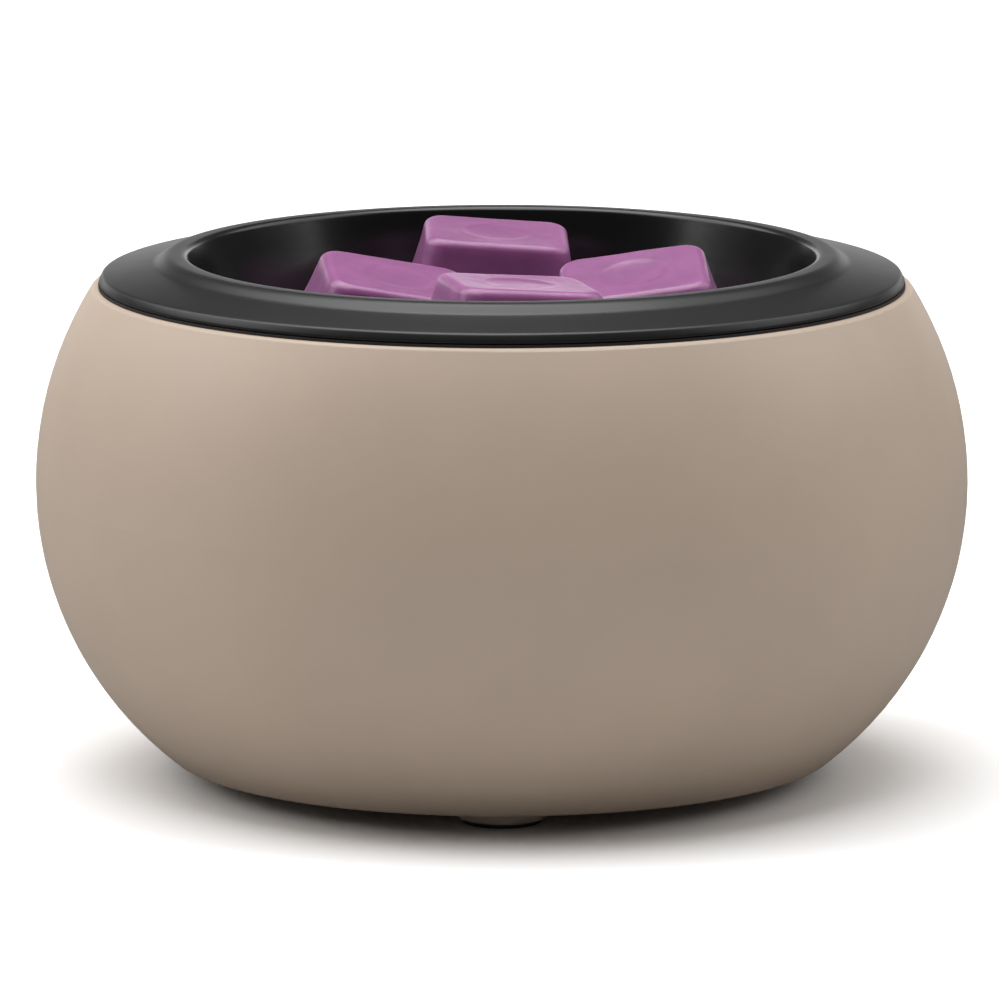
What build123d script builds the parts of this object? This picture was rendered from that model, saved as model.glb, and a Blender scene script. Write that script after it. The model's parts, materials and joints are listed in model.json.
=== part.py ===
from build123d import *
import math
import os

# A wax melt warmer. Millimetres, +Z up, origin on the floor under the middle, front at -Y.

# Bowl: driving sizes, worked out from the outline
belly_radius = 67.0
belly_height = 42.1
rim_height = 70.5
lower_arc_radius = 50.2
upper_arc_radius = 53.0
shell_wall = 4.0
shell_floor = 4.0
rim_round = 0.8
base_edge_round = 1.0
floor_corner_round = 3.0

# Feet
foot_count = 3
foot_gap_to_cover = 1.1
foot_nub_radius = 6.4
foot_nub_height = 2.0
foot_nub_round = 0.5
foot_pad_radius = 5.6
foot_pad_thickness = 0.6
foot_pad_round = 0.2

# Dish
dish_wall = 1.8
dish_depth = 19.2
dish_corner_radius = 10.0
dish_wall_lean = 15.0
lip_wire_radius = 1.6
lip_crest_width = 0.8
lip_outer_radius = 2.4
lip_rise = 4.3
lip_slope = 38.0
flange_overhang = 0.55
flange_to_lip = 11.6
flange_sweep_radius = 3.5
flange_inner_slope = 5.0
flange_outer_slope = 11.0
flange_edge_height = 1.4
flange_edge_setback = 0.7
flange_edge_round = 0.9
flange_foot_round = 0.4

# Gasket
gasket_thickness = 0.4
gasket_setback = 0.9
gasket_wall = 0.8
gasket_skirt = 3.0
gasket_gap = 0.25

# Base cover
cover_gap_to_floor = 1.0
cover_flange_width = 2.0
cover_clearance = 0.3
cover_ring_wall = 2.3
cover_pillar_radius = 4.6
cover_edge_round = 0.5
opening_wall = 1.95
vent_count = 6
vent_width = 3.0
vent_length = 9.0
vent_circle_radius = 12.0

# Screws, shared by every fastener: shank radius, head radius and head height
thread_clearance = 0.05
hole_clearance = 0.2
head_clearance = 0.3
recess_width = 0.8
recess_depth_share = 0.5
recess_span_share = 1.3
m3_shank = 1.5
m3_head = 2.75
m3_head_height = 1.8
m2_shank = 1.0
m2_head = 1.9
m2_head_height = 1.3
base_screw_grip = 8.0
plate_screw_length = 8.0
small_screw_bite = 2.0

# Chassis and posts
chassis_lap = 4.5
chassis_thickness = 1.5
post_count = 3
post_gap_to_clamp = 0.35
post_gap_to_heater = 2.5
post_radius = 3.5
post_bore_depth = 10.0
stud_radius = 2.0
stud_length = 6.0
stud_bore_depth = 7.0
shield_height_share = 0.53
shield_radius = 34.0
shield_thickness = 1.0
shield_rim_depth = 4.0

# Heater stack
plate_radius = 32.0
plate_thickness = 3.0
pad_margin = 0.3
pad_thickness = 0.5
heater_width = 21.0
heater_length = 35.0
heater_thickness = 5.0
heater_round = 1.0
clamp_from_end = 9.5
clamp_strip_width = 6.0
clamp_thickness = 1.0
clamp_side_gap = 0.4
clamp_foot_length = 4.6
seat_gap = 0.05

# Fuse, sensor and wires
fuse_gap_to_heater = 1.6
fuse_from_end = 8.5
fuse_radius = 2.0
fuse_length = 9.0
sleeve_radius = 2.5
sleeve_bore_gap = 0.1
sleeve_length = 10.0
clip_strip_width = 5.0
clip_thickness = 0.8
clip_foot_length = 6.0
clip_mouth = 4.0
sensor_gap_to_heater = 1.1
sensor_from_end = 3.5
sensor_ring_radius = 3.0
sensor_ring_thickness = 1.0
sensor_barrel_radius = 1.6
sensor_barrel_length = 6.0
wire_radius = 0.8
wire_bend = 4.0
wire_duck = 2.0
wire_lead_place = 6.0
return_lead_place = -3.5

# Rear control module
module_height = 23.5
panel_height = 15.0
panel_thickness = 2.0
panel_recess = 7.62
panel_corner = 3.0
collar_wall = 1.8
bezel_lip_width = 1.2
bezel_proud = 0.6
bezel_skin_gap = 0.15
seal_thickness = 0.8
seal_gap = 0.05
pillar_radius = 2.0
pillar_gap = 0.7
pillar_edge = 3.2
board_gap = 9.5
board_thickness = 1.6
board_margin = 0.6
board_margin_high = 1.0
board_corner = 1.0
jack_gap = 1.3
jack_body = 9.0
jack_nose_radius = 4.4
jack_nose_gap = 0.2
jack_bore_radius = 3.2
jack_bore_depth = 9.0
jack_pin_radius = 1.05
jack_pin_setback = 0.8
led_place = 0.2
led_radius = 1.5
led_flange = 1.9
led_flange_height = 1.0
led_length = 5.0
pipe_radius = 1.5
pipe_flange = 2.4
pipe_flange_height = 1.0
pipe_gap = 0.05
button_gap_to_pipe = 0.5
button_radius = 4.5
button_gap = 0.2
button_proud = 1.5
button_flange_width = 1.0
button_flange_height = 1.2
button_edge_round = 0.5
button_dish_depth = 0.35
button_travel = 1.5
switch_body = 6.0
switch_height = 3.5
switch_bore_depth = 2.5
plunger_radius = 1.6
plunger_gap = 0.1
chip_size = (8.0, 1.6, 5.0)
chip_place = (-9.5, -3.2)
transistor_size = (7.0, 2.4, 6.4)
transistor_place = (9.5, -3.4)
capacitor_radius = 2.5
capacitor_length = 6.0
capacitor_place = (0.0, -3.6)
connector_size = (20.0, 5.0, 5.5)

# Wax melts: a rounded block that narrows upwards, lying loose in the dish
melt_length = 27.0
melt_width = 23.6
melt_top_length = 20.6
melt_top_width = 17.4
melt_height = 13.0
melt_corner = 3.6
melt_top_corner = 3.0
melt_edge_round = 1.0
melt_dimple_radius = 5.0
melt_dimple_depth = 0.4
melt_clearance = 0.3
melt_outline_steps = 12
# Each melt's place as shares of the mouth radius, then its turn, nod to the front and lean to the right
melt_place_shares = {
    "back": (-0.036, 0.631, 1.4, 4.4, 4.2),
    "left": (-0.387, -0.120, 7.0, 7.6, 11.6),
    "right": (0.456, -0.013, 3.2, 12.8, -7.2),
    "front": (0.038, -0.613, 14.0, -1.3, 4.0),
}

# Shared working values
cut_overrun = 5.0
full_turn = 360.0
half_turn = 180.0
quarter_turn = 90.0
front_angle = -90.0
tool_reach = 30.0

# Heights and radii that follow from the sizes above
base_height = foot_nub_height + foot_pad_thickness
floor_top = base_height + shell_floor
lower_centre = (belly_radius - lower_arc_radius, belly_height)
upper_centre = (belly_radius - upper_arc_radius, belly_height)
chassis_top = floor_top + chassis_thickness

# Places round the heater: the clamp's feet and the heater's end keep the posts out, and the posts the cover
clamp_reach = heater_width / 2 + clamp_side_gap + clamp_thickness + clamp_foot_length
clamp_place = heater_length / 2 - clamp_from_end
fuse_place = (
    heater_width / 2 + fuse_gap_to_heater + sleeve_radius,
    fuse_from_end - heater_length / 2,
)
sensor_place = (
    -heater_width / 2 - sensor_gap_to_heater - sensor_ring_radius,
    sensor_from_end - heater_length / 2,
)
post_angle = math.radians(full_turn / post_count + front_angle)
post_circle_radius = max(
    (clamp_reach + post_gap_to_clamp + post_radius) / math.cos(post_angle),
    heater_length / 2 + post_gap_to_heater + post_radius,
)
opening_radius = post_circle_radius + m3_head + head_clearance + opening_wall
foot_circle_radius = opening_radius + cover_flange_width + foot_gap_to_cover + foot_nub_radius
chassis_radius = opening_radius + chassis_lap

# Places across the rear panel, each beside the last
button_flange = button_radius + button_flange_width
button_place = led_place + pipe_flange + button_gap_to_pipe + button_flange
pillar_place = button_place + button_flange + pillar_gap + pillar_radius
jack_place = led_place - pipe_flange - jack_gap - jack_body / 2
panel_width = 2 * (pillar_place + pillar_edge)


def drop(radius, height):
    """The level distance at a height from a circle's centre."""
    return math.sqrt(radius**2 - height**2)


def skin_radius(height, offset=0.0):
    """The bowl's outer radius at a height, moved out by an offset."""
    if height < belly_height:
        return lower_centre[0] + drop(lower_arc_radius + offset, belly_height - height)
    return upper_centre[0] + drop(upper_arc_radius + offset, height - belly_height)


rim_radius = skin_radius(rim_height)
flange_radius = rim_radius - flange_overhang
flange_under = rim_height + gasket_thickness
lip_centre = (flange_radius - flange_to_lip, flange_under + lip_rise - lip_wire_radius)
lip_top = flange_under + lip_rise
dish_floor = lip_top - dish_depth
plate_top = dish_floor - dish_wall
plate_under = plate_top - plate_thickness
shield_under = chassis_top + shield_height_share * (plate_under - chassis_top)
shield_top = shield_under + shield_thickness
heater_top = plate_under - pad_thickness
heater_under = heater_top - heater_thickness
fuse_height = plate_under - sleeve_radius - seat_gap
duck_height = fuse_height - wire_duck

# Dish outline: the bowl's corner arc is tangent to its leaning wall, and the wall to the lip's wire
wall_normal = (-math.cos(math.radians(dish_wall_lean)), math.sin(math.radians(dish_wall_lean)))
lip_tangent = (
    lip_centre[0] + lip_wire_radius * wall_normal[0],
    lip_centre[1] + lip_wire_radius * wall_normal[1],
)
corner_height = dish_floor + dish_corner_radius
corner_out = -dish_corner_radius * wall_normal[0]
corner_down = dish_corner_radius * wall_normal[1]
wall_run = math.tan(math.radians(dish_wall_lean)) * (lip_tangent[1] - corner_height + corner_down)
dish_flat_radius = lip_tangent[0] - corner_out - wall_run

# Rear module: each depth counts back from the panel's face
panel_face = skin_radius(module_height) - panel_recess
panel_back = panel_face - panel_thickness
board_back = panel_back - board_gap
board_front = board_back - board_thickness
board_width = panel_width - 2 * board_margin
board_height = panel_height - 2 * board_margin_high
connector_top = module_height + board_height / 2 - board_margin_high
connector_middle = board_front - connector_size[1] / 2


def upright(radius, low, high, x=0.0, y=0.0):
    """A round bar between two heights."""
    return Pos(x, y, low) * extrude(Circle(radius), high - low)


def facing_back(x, y, z):
    """A plane whose normal points to the back."""
    return Plane(origin=(x, y, z), x_dir=(1, 0, 0), z_dir=(0, 1, 0))


def level_bar(radius, near, far, x, z):
    """A round bar along Y."""
    return facing_back(x, near, z) * extrude(Circle(radius), far - near)


def rounded_bar(width, height, corner, near, far):
    """A bar along Y with a rounded section, centred on the rear module."""
    section = RectangleRounded(width, height, corner)
    return facing_back(0, near, module_height) * extrude(section, far - near)


def block(size, x, y, z):
    """A block by its middle in X and Y and its lowest height."""
    return Pos(x, y, z) * Box(*size, align=(Align.CENTER, Align.CENTER, Align.MIN))


def turned(*outline):
    """A body of revolution from a closed outline of radius and height."""
    return revolve(Plane.XZ * make_face(Curve() + list(outline)), Axis.Z)


def arc_between(centre, radius, start, end):
    """The arc about a centre from one angle to another, in degrees."""
    return CenterArc(centre, radius, start, end - start)


def around(count, radius, first=front_angle):
    """Places spread evenly round the middle."""
    angles = [math.radians(first + full_turn * turn / count) for turn in range(count)]
    return [(radius * math.cos(angle), radius * math.sin(angle)) for angle in angles]


def screw(shank, head, head_height, length, countersunk=False):
    """A screw that points along +Z, its head's seat at zero, with a cross recess."""
    body = extrude(Circle(shank), length)
    if countersunk:
        head_low = 0
        body += Cone(head, shank, head - shank, align=(Align.CENTER, Align.CENTER, Align.MIN))
    else:
        head_low = -head_height
        body += Pos(0, 0, head_low) * extrude(Circle(head), head_height)
    recess = Rectangle(head * recess_span_share, recess_width)
    recess += Rectangle(recess_width, head * recess_span_share)
    depth = head_height * recess_depth_share
    return body - Pos(0, 0, head_low - cut_overrun) * extrude(recess, cut_overrun + depth)


def wire(route, bends, radius=wire_radius):
    """A round wire along straight runs joined by tangent arcs."""
    path = FilletPolyline(*route, radius=bends)
    section = Plane(origin=path @ 0, z_dir=path % 0) * Circle(radius)
    return sweep(section, path=path)


def vent_slots(low, high):
    """The cutter for the ring of vent slots."""
    cutter = Part()
    for x, y in around(vent_count, vent_circle_radius):
        slot = SlotOverall(vent_length, vent_width)
        turn = math.degrees(math.atan2(y, x))
        cutter += Pos(x, y, low) * Rot(0, 0, turn) * extrude(slot, high - low)
    return cutter


def skin_solid(offset):
    """The bowl's outer form, filled, moved out by an offset."""
    low = drop(lower_arc_radius + offset, belly_height - base_height)
    high = drop(upper_arc_radius + offset, rim_height - belly_height)
    low_angle = -math.degrees(math.atan2(belly_height - base_height, low))
    high_angle = math.degrees(math.atan2(rim_height - belly_height, high))
    return turned(
        Line((0, base_height), (lower_centre[0] + low, base_height)),
        arc_between(lower_centre, lower_arc_radius + offset, low_angle, 0),
        arc_between(upper_centre, upper_arc_radius + offset, 0, high_angle),
        Line((upper_centre[0] + high, rim_height), (0, rim_height)),
        Line((0, rim_height), (0, base_height)),
    )


def make_body_shell():
    """The ceramic bowl: two outer arcs that meet at the belly, one even wall, nubs and a rear window."""
    inner_lower = lower_arc_radius - shell_wall
    inner_upper = upper_arc_radius - shell_wall
    outer_low = math.degrees(math.asin((belly_height - base_height) / lower_arc_radius))
    outer_high = math.degrees(math.asin((rim_height - belly_height) / upper_arc_radius))
    inner_low = math.degrees(math.asin((belly_height - floor_top) / inner_lower))
    inner_high = math.degrees(math.asin((rim_height - belly_height) / inner_upper))
    rim_inside = upper_centre[0] + drop(inner_upper, rim_height - belly_height)
    floor_inside = lower_centre[0] + drop(inner_lower, belly_height - floor_top)
    outline = [
        Line((opening_radius, base_height), (skin_radius(base_height), base_height)),
        arc_between(lower_centre, lower_arc_radius, -outer_low, 0),
        arc_between(upper_centre, upper_arc_radius, 0, outer_high),
        Line((rim_radius, rim_height), (rim_inside, rim_height)),
        arc_between(upper_centre, inner_upper, inner_high, 0),
        arc_between(lower_centre, inner_lower, 0, -inner_low),
        Line((floor_inside, floor_top), (opening_radius, floor_top)),
        Line((opening_radius, floor_top), (opening_radius, base_height)),
    ]
    section = make_face(Curve() + outline)
    rounds = [
        (skin_radius(base_height), base_height, base_edge_round),
        (rim_radius, rim_height, rim_round),
        (rim_inside, rim_height, rim_round),
        (floor_inside, floor_top, floor_corner_round),
    ]
    for x, z, radius in rounds:
        corner = section.vertices().sort_by_distance((x, z))[0]
        section = fillet(corner, radius)
    shell = revolve(Plane.XZ * section, Axis.Z)
    for x, y in around(foot_count, foot_circle_radius):
        nub = upright(foot_nub_radius, foot_pad_thickness, base_height, x, y)
        shell += fillet(nub.edges().sort_by(Axis.Z)[0], foot_nub_round)
    window = rounded_bar(
        panel_width + 2 * seal_thickness,
        panel_height + 2 * seal_thickness,
        panel_corner + seal_thickness,
        belly_radius - tool_reach,
        belly_radius + cut_overrun,
    )
    return shell - window


def make_foot_pad(x, y):
    """A glued rubber disc with a softened lower edge."""
    pad = upright(foot_pad_radius, 0, foot_pad_thickness, x, y)
    return fillet(pad.edges().sort_by(Axis.Z)[0], foot_pad_round)


def cover_screw_seat():
    """The height of the base screws' head seats in the cover."""
    return cover_gap_to_floor + m3_head_height + head_clearance


def make_base_cover():
    """A flanged cup that plugs the bowl's opening, with screw pillars and vents."""
    spigot_radius = opening_radius - cover_clearance
    flange = upright(opening_radius + cover_flange_width, cover_gap_to_floor, base_height)
    flange = fillet(flange.edges().sort_by(Axis.Z)[0], cover_edge_round)
    cover = flange + upright(spigot_radius, base_height, floor_top)
    hollow = upright(spigot_radius - cover_ring_wall, base_height, floor_top + cut_overrun)
    pillars = Part()
    for x, y in around(post_count, post_circle_radius):
        pillars += upright(cover_pillar_radius, base_height, floor_top + cut_overrun, x, y)
    cover -= hollow - pillars
    for x, y in around(post_count, post_circle_radius):
        cover -= upright(m3_head + head_clearance, 0, cover_screw_seat(), x, y)
        cover -= upright(m3_shank + hole_clearance, 0, floor_top + cut_overrun, x, y)
    return cover - vent_slots(0, base_height + cut_overrun)


def make_base_screws():
    """Three long screws from below, through the cover and chassis into the posts."""
    length = chassis_top - cover_screw_seat() + base_screw_grip
    return [
        Pos(x, y, cover_screw_seat()) * screw(m3_shank, m3_head, m3_head_height, length)
        for x, y in around(post_count, post_circle_radius)
    ]


def make_chassis_plate():
    """A steel disc on the bowl's floor."""
    plate = upright(chassis_radius, floor_top, chassis_top)
    for x, y in around(post_count, post_circle_radius):
        plate -= upright(m3_shank + hole_clearance, 0, chassis_top + cut_overrun, x, y)
    return plate - vent_slots(floor_top - cut_overrun, chassis_top + cut_overrun)


def make_lower_post(x, y):
    """A stand-off, tapped at both ends."""
    post = upright(post_radius, chassis_top, shield_under, x, y)
    post -= upright(m3_shank + thread_clearance, 0, chassis_top + post_bore_depth, x, y)
    stud_hole = stud_radius + thread_clearance
    return post - upright(stud_hole, shield_under - stud_bore_depth, shield_top, x, y)


def make_upper_post(x, y):
    """A stand-off with a stud below, which clamps the shield to the lower post."""
    post = upright(post_radius, shield_top, plate_under, x, y)
    post += upright(stud_radius, shield_under - stud_length, shield_top, x, y)
    low = plate_under - post_bore_depth
    return post - upright(m3_shank + thread_clearance, low, plate_top, x, y)


def make_heat_shield():
    """A pressed steel tray, rim down, that keeps heat off the bowl's floor."""
    shield = upright(shield_radius, shield_top - shield_rim_depth, shield_top)
    inside = shield_radius - shield_thickness
    shield -= upright(inside, shield_top - shield_rim_depth - cut_overrun, shield_under)
    for x, y in around(post_count, post_circle_radius):
        shield -= upright(stud_radius + hole_clearance, 0, plate_under, x, y)
    return shield


def screw_hole_places():
    """Where small screws go up into the heat plate."""
    clamp_x = clamp_reach - clamp_foot_length / 2
    return {
        "clamp": [(clamp_x, clamp_place), (-clamp_x, clamp_place)],
        "fuse": [(fuse_place[0] + sleeve_radius + clip_foot_length / 2, fuse_place[1])],
        "sensor": [sensor_place],
    }


def make_heat_plate():
    """An aluminium disc with countersunk holes over the posts and blind tapped holes below."""
    plate = upright(plate_radius, plate_under, plate_top)
    sink = m3_head - m3_shank
    for x, y in around(post_count, post_circle_radius):
        plate -= upright(m3_shank + hole_clearance, 0, plate_top + cut_overrun, x, y)
        mouth = Cone(
            m3_shank + hole_clearance,
            m3_head + hole_clearance,
            sink,
            align=(Align.CENTER, Align.CENTER, Align.MAX),
        )
        plate -= Pos(x, y, plate_top) * mouth
    for places in screw_hole_places().values():
        for x, y in places:
            hole = m2_shank + thread_clearance
            plate -= upright(hole, 0, plate_under + small_screw_bite + hole_clearance, x, y)
    return plate


def make_plate_screws():
    """Three countersunk screws, a hair under the plate's face so the dish lies flat."""
    down = screw(m3_shank, m3_head, m3_head - m3_shank, plate_screw_length, countersunk=True)
    down = Rot(half_turn, 0, 0) * down
    sunk = plate_top - hole_clearance
    return [Pos(x, y, sunk) * down for x, y in around(post_count, post_circle_radius)]


def make_thermal_pad():
    """The soft sheet between heater and plate."""
    size = (heater_width + 2 * pad_margin, heater_length + 2 * pad_margin, pad_thickness)
    return block(size, 0, 0, heater_top)


def make_ptc_heater():
    """The flat heater block in its insulating film."""
    heater = block((heater_width, heater_length, heater_thickness), 0, 0, heater_under)
    return fillet(heater.edges().filter_by(Axis.Z), heater_round)


def make_heater_clamp():
    """A spring-steel strap under the heater, bent up each side to feet on the plate."""
    inner = heater_width / 2 + clamp_side_gap
    outer = inner + clamp_thickness
    under_size = (2 * outer, clamp_strip_width, clamp_thickness)
    strap = block(under_size, 0, clamp_place, heater_under - clamp_thickness)
    rise = plate_under - heater_under
    for side in (-1, 1):
        leg_x = side * (inner + outer) / 2
        strap += block((clamp_thickness, clamp_strip_width, rise), leg_x, clamp_place, heater_under)
        foot_x = side * (outer + clamp_reach) / 2
        foot_size = (clamp_reach - outer, clamp_strip_width, clamp_thickness)
        strap += block(foot_size, foot_x, clamp_place, plate_under - clamp_thickness)
    for x, y in screw_hole_places()["clamp"]:
        strap -= upright(m2_shank + hole_clearance, 0, plate_under, x, y)
    return strap


def small_screws(places, seat):
    """Small pan-head screws that point up into the heat plate from a seat height."""
    length = plate_under + small_screw_bite - seat
    return [Pos(x, y, seat) * screw(m2_shank, m2_head, m2_head_height, length) for x, y in places]


def fuse_end(side):
    """Where the fuse's leads leave it: -1 at the front, 1 at the back."""
    return fuse_place[1] + side * sleeve_length / 2


def make_thermal_fuse():
    """The cut-off's metal can."""
    x, y = fuse_place
    return level_bar(fuse_radius, y - fuse_length / 2, y + fuse_length / 2, x, fuse_height)


def make_fuse_sleeve():
    """The insulating sleeve round the cut-off."""
    x = fuse_place[0]
    sleeve = level_bar(sleeve_radius, fuse_end(-1), fuse_end(1), x, fuse_height)
    bore = fuse_radius + sleeve_bore_gap
    return sleeve - level_bar(bore, fuse_end(-1), fuse_end(1), x, fuse_height)


def make_fuse_clip():
    """A strip bent round the sleeve, with one foot screwed to the plate."""
    x, y = fuse_place
    low, high = y - clip_strip_width / 2, y + clip_strip_width / 2
    inner = sleeve_radius + seat_gap
    outer = inner + clip_thickness
    clip = level_bar(outer, low, high, x, fuse_height)
    foot_size = (sleeve_radius + clip_foot_length, clip_strip_width, clip_thickness)
    clip += block(foot_size, x + foot_size[0] / 2, y, plate_under - clip_thickness)
    clip -= level_bar(inner, low, high, x, fuse_height)
    clip -= block((foot_size[0] * 2, clip_strip_width * 2, outer), x, y, plate_under)
    clip -= block((clip_mouth, clip_strip_width * 2, outer), x, y, fuse_height)
    for place in screw_hole_places()["fuse"]:
        clip -= upright(m2_shank + hole_clearance, 0, plate_under, *place)
    return clip


def sensor_lead_start():
    """Where the sensor's lead leaves its barrel."""
    return sensor_place[1] + sensor_ring_radius + sensor_barrel_length


def make_thermistor():
    """A ring lug with the sensing bead crimped in its barrel."""
    x, y = sensor_place
    low = plate_under - sensor_ring_thickness
    lug = upright(sensor_ring_radius, low, plate_under, x, y)
    neck = sensor_ring_radius / 2
    barrel_height = plate_under - sensor_barrel_radius - seat_gap
    lug += level_bar(sensor_barrel_radius, y + neck, sensor_lead_start(), x, barrel_height)
    lug -= upright(m2_head + hole_clearance, 0, low, x, y)
    return lug - upright(m2_shank + hole_clearance, 0, plate_under, x, y)


def to_connector(slot_x):
    """The last points of a wire's route, over the shield's edge and down into the connector."""
    y = connector_middle
    return [
        (slot_x, y - 2 * wire_bend, duck_height),
        (slot_x, y, duck_height),
        (slot_x, y, connector_top),
    ]


def make_supply_wire():
    """From the connector to the back of the fuse, ducking under the clamp's screw."""
    x = fuse_place[0]
    start = fuse_end(1)
    route = [
        (x, start, fuse_height),
        (x, start + wire_bend, fuse_height),
        (x, clamp_place - clamp_strip_width / 2, duck_height),
        (x, clamp_place + 2 * clamp_strip_width, duck_height),
        *to_connector(wire_lead_place),
    ]
    return wire(route, wire_bend)


def make_link_wire():
    """From the front of the fuse round to the front of the heater."""
    x = fuse_place[0]
    turn = -heater_length / 2 - wire_lead_place
    route = [
        (x, fuse_end(-1), fuse_height),
        (x, turn, fuse_height),
        (wire_lead_place, turn, fuse_height),
        (wire_lead_place, -heater_length / 2, fuse_height),
    ]
    return wire(route, wire_bend)


def make_return_wire():
    """From the back of the heater to the connector."""
    x = return_lead_place
    start = heater_length / 2
    route = [(x, start, duck_height), *to_connector(x)[1:]]
    return wire(route, wire_bend)


def make_sensor_lead():
    """From the sensor's barrel to the connector."""
    x = sensor_place[0]
    start = sensor_lead_start()
    height = plate_under - sensor_barrel_radius - seat_gap
    route = [
        (x, start, height),
        (x, start + wire_bend, height),
        (x, clamp_place - clamp_strip_width / 2, duck_height),
        (x, clamp_place + 2 * clamp_strip_width, duck_height),
        *to_connector(2 * return_lead_place),
    ]
    return wire(route, wire_bend)


def make_rim_gasket():
    """A soft ring on the bowl's rim, with a skirt inside it."""
    outer = rim_radius - gasket_setback
    inner_arc = upper_arc_radius - shell_wall
    rim_inside = upper_centre[0] + drop(inner_arc, rim_height - belly_height)
    skirt_outer = rim_inside - gasket_gap
    skirt_inner = skirt_outer - gasket_wall
    ring = upright(outer, rim_height, flange_under) - upright(skirt_inner, rim_height, flange_under)
    skirt = upright(skirt_outer, rim_height - gasket_skirt, rim_height)
    return ring + (skirt - upright(skirt_inner, rim_height - gasket_skirt, rim_height))


def bowl_height(radius):
    """The dish's inner surface, as a height over a distance from the middle."""
    if radius <= dish_flat_radius:
        return dish_floor
    if radius <= dish_flat_radius + corner_out:
        return corner_height - drop(dish_corner_radius, radius - dish_flat_radius)
    beyond = radius - dish_flat_radius - corner_out
    return corner_height - corner_down + beyond / math.tan(math.radians(dish_wall_lean))


def arc_run(steep, gentle, radius):
    """How far out and how far down an arc runs between two slopes."""
    steep, gentle = math.radians(steep), math.radians(gentle)
    return radius * (math.sin(steep) - math.sin(gentle)), radius * (math.cos(gentle) - math.cos(steep))


def make_wax_dish():
    """The loose dish: flat floor, leaning wall, broad rolled lip, a soft sweep and a falling band."""
    wall_angle = quarter_turn - dish_wall_lean
    lip_start = half_turn - dish_wall_lean
    outer_corner = dish_corner_radius + dish_wall
    wall_start = (dish_flat_radius + corner_out, corner_height - corner_down)
    crest_end = (lip_centre[0] + lip_crest_width, lip_top)
    crest_centre = (crest_end[0], lip_top - lip_outer_radius)
    crest_out, crest_down = arc_run(lip_slope, 0, lip_outer_radius)
    slope_start = (crest_end[0] + crest_out, crest_end[1] - crest_down)
    shoulder = (flange_radius - flange_edge_setback, flange_under + flange_edge_height)
    # The straight slope is as long as it takes for the sweep below it to end on the band's chord
    sweep_out, sweep_down = arc_run(lip_slope, flange_inner_slope, flange_sweep_radius)
    fall = math.tan(math.radians(lip_slope))
    band_angle = math.radians((flange_inner_slope + flange_outer_slope) / 2)
    beyond = shoulder[0] - slope_start[0] - sweep_out
    spare = slope_start[1] - sweep_down - shoulder[1] - beyond * math.tan(band_angle)
    slope_run = spare / (fall - math.tan(band_angle))
    slope_end = (slope_start[0] + slope_run, slope_start[1] - slope_run * fall)
    valley = (slope_end[0] + sweep_out, slope_end[1] - sweep_down)
    chord = (shoulder[0] - valley[0]) / math.cos(band_angle)
    crown_rise = chord / 2 * math.tan(math.radians(flange_outer_slope - flange_inner_slope) / 4)
    crown = (
        (valley[0] + shoulder[0]) / 2 + crown_rise * math.sin(band_angle),
        (valley[1] + shoulder[1]) / 2 + crown_rise * math.cos(band_angle),
    )
    outer_scale = outer_corner / dish_corner_radius
    outer_start = (
        dish_flat_radius + corner_out * outer_scale,
        corner_height - corner_down * outer_scale,
    )
    lean = math.tan(math.radians(dish_wall_lean))
    outer_top = (outer_start[0] + lean * (flange_under - outer_start[1]), flange_under)
    centre = (dish_flat_radius, corner_height)
    foot = (flange_radius, flange_under)
    outline = [
        Line((0, dish_floor), (dish_flat_radius, dish_floor)),
        arc_between(centre, dish_corner_radius, -quarter_turn, wall_angle - quarter_turn),
        Line(wall_start, lip_tangent),
        arc_between(lip_centre, lip_wire_radius, lip_start, quarter_turn),
        Line((lip_centre[0], lip_top), crest_end),
        arc_between(crest_centre, lip_outer_radius, quarter_turn, quarter_turn - lip_slope),
        Line(slope_start, slope_end),
        RadiusArc(slope_end, valley, flange_sweep_radius),
        ThreePointArc(valley, crown, shoulder),
        Line(shoulder, foot),
        Line(foot, outer_top),
        Line(outer_top, outer_start),
        arc_between(centre, outer_corner, wall_angle - quarter_turn, -quarter_turn),
        Line((dish_flat_radius, plate_top), (0, plate_top)),
        Line((0, plate_top), (0, dish_floor)),
    ]
    section = make_face(Curve() + outline)
    for point, radius in ((shoulder, flange_edge_round), (foot, flange_foot_round)):
        corner = section.vertices().sort_by_distance(point)[0]
        section = fillet(corner, radius)
    return revolve(Plane.XZ * section, Axis.Z)


def melt_turn(turn, nod, lean):
    """A melt's attitude: turned about the upright, leaned to the right, nodded to the front."""
    return Rot(nod, 0, 0) * Rot(0, lean, 0) * Rot(0, 0, turn)


def melt_outline(length, width, corner, height):
    """Points round one of a melt's two rounded rectangles."""
    points = []
    for quadrant in range(4):
        side_x = 1 if quadrant in (0, 3) else -1
        side_y = 1 if quadrant in (0, 1) else -1
        for step in range(melt_outline_steps + 1):
            angle = math.radians(quarter_turn * (quadrant + step / melt_outline_steps))
            x = side_x * (length / 2 - corner) + corner * math.cos(angle)
            y = side_y * (width / 2 - corner) + corner * math.sin(angle)
            points.append(Vector(x, y, height))
    return points


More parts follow.
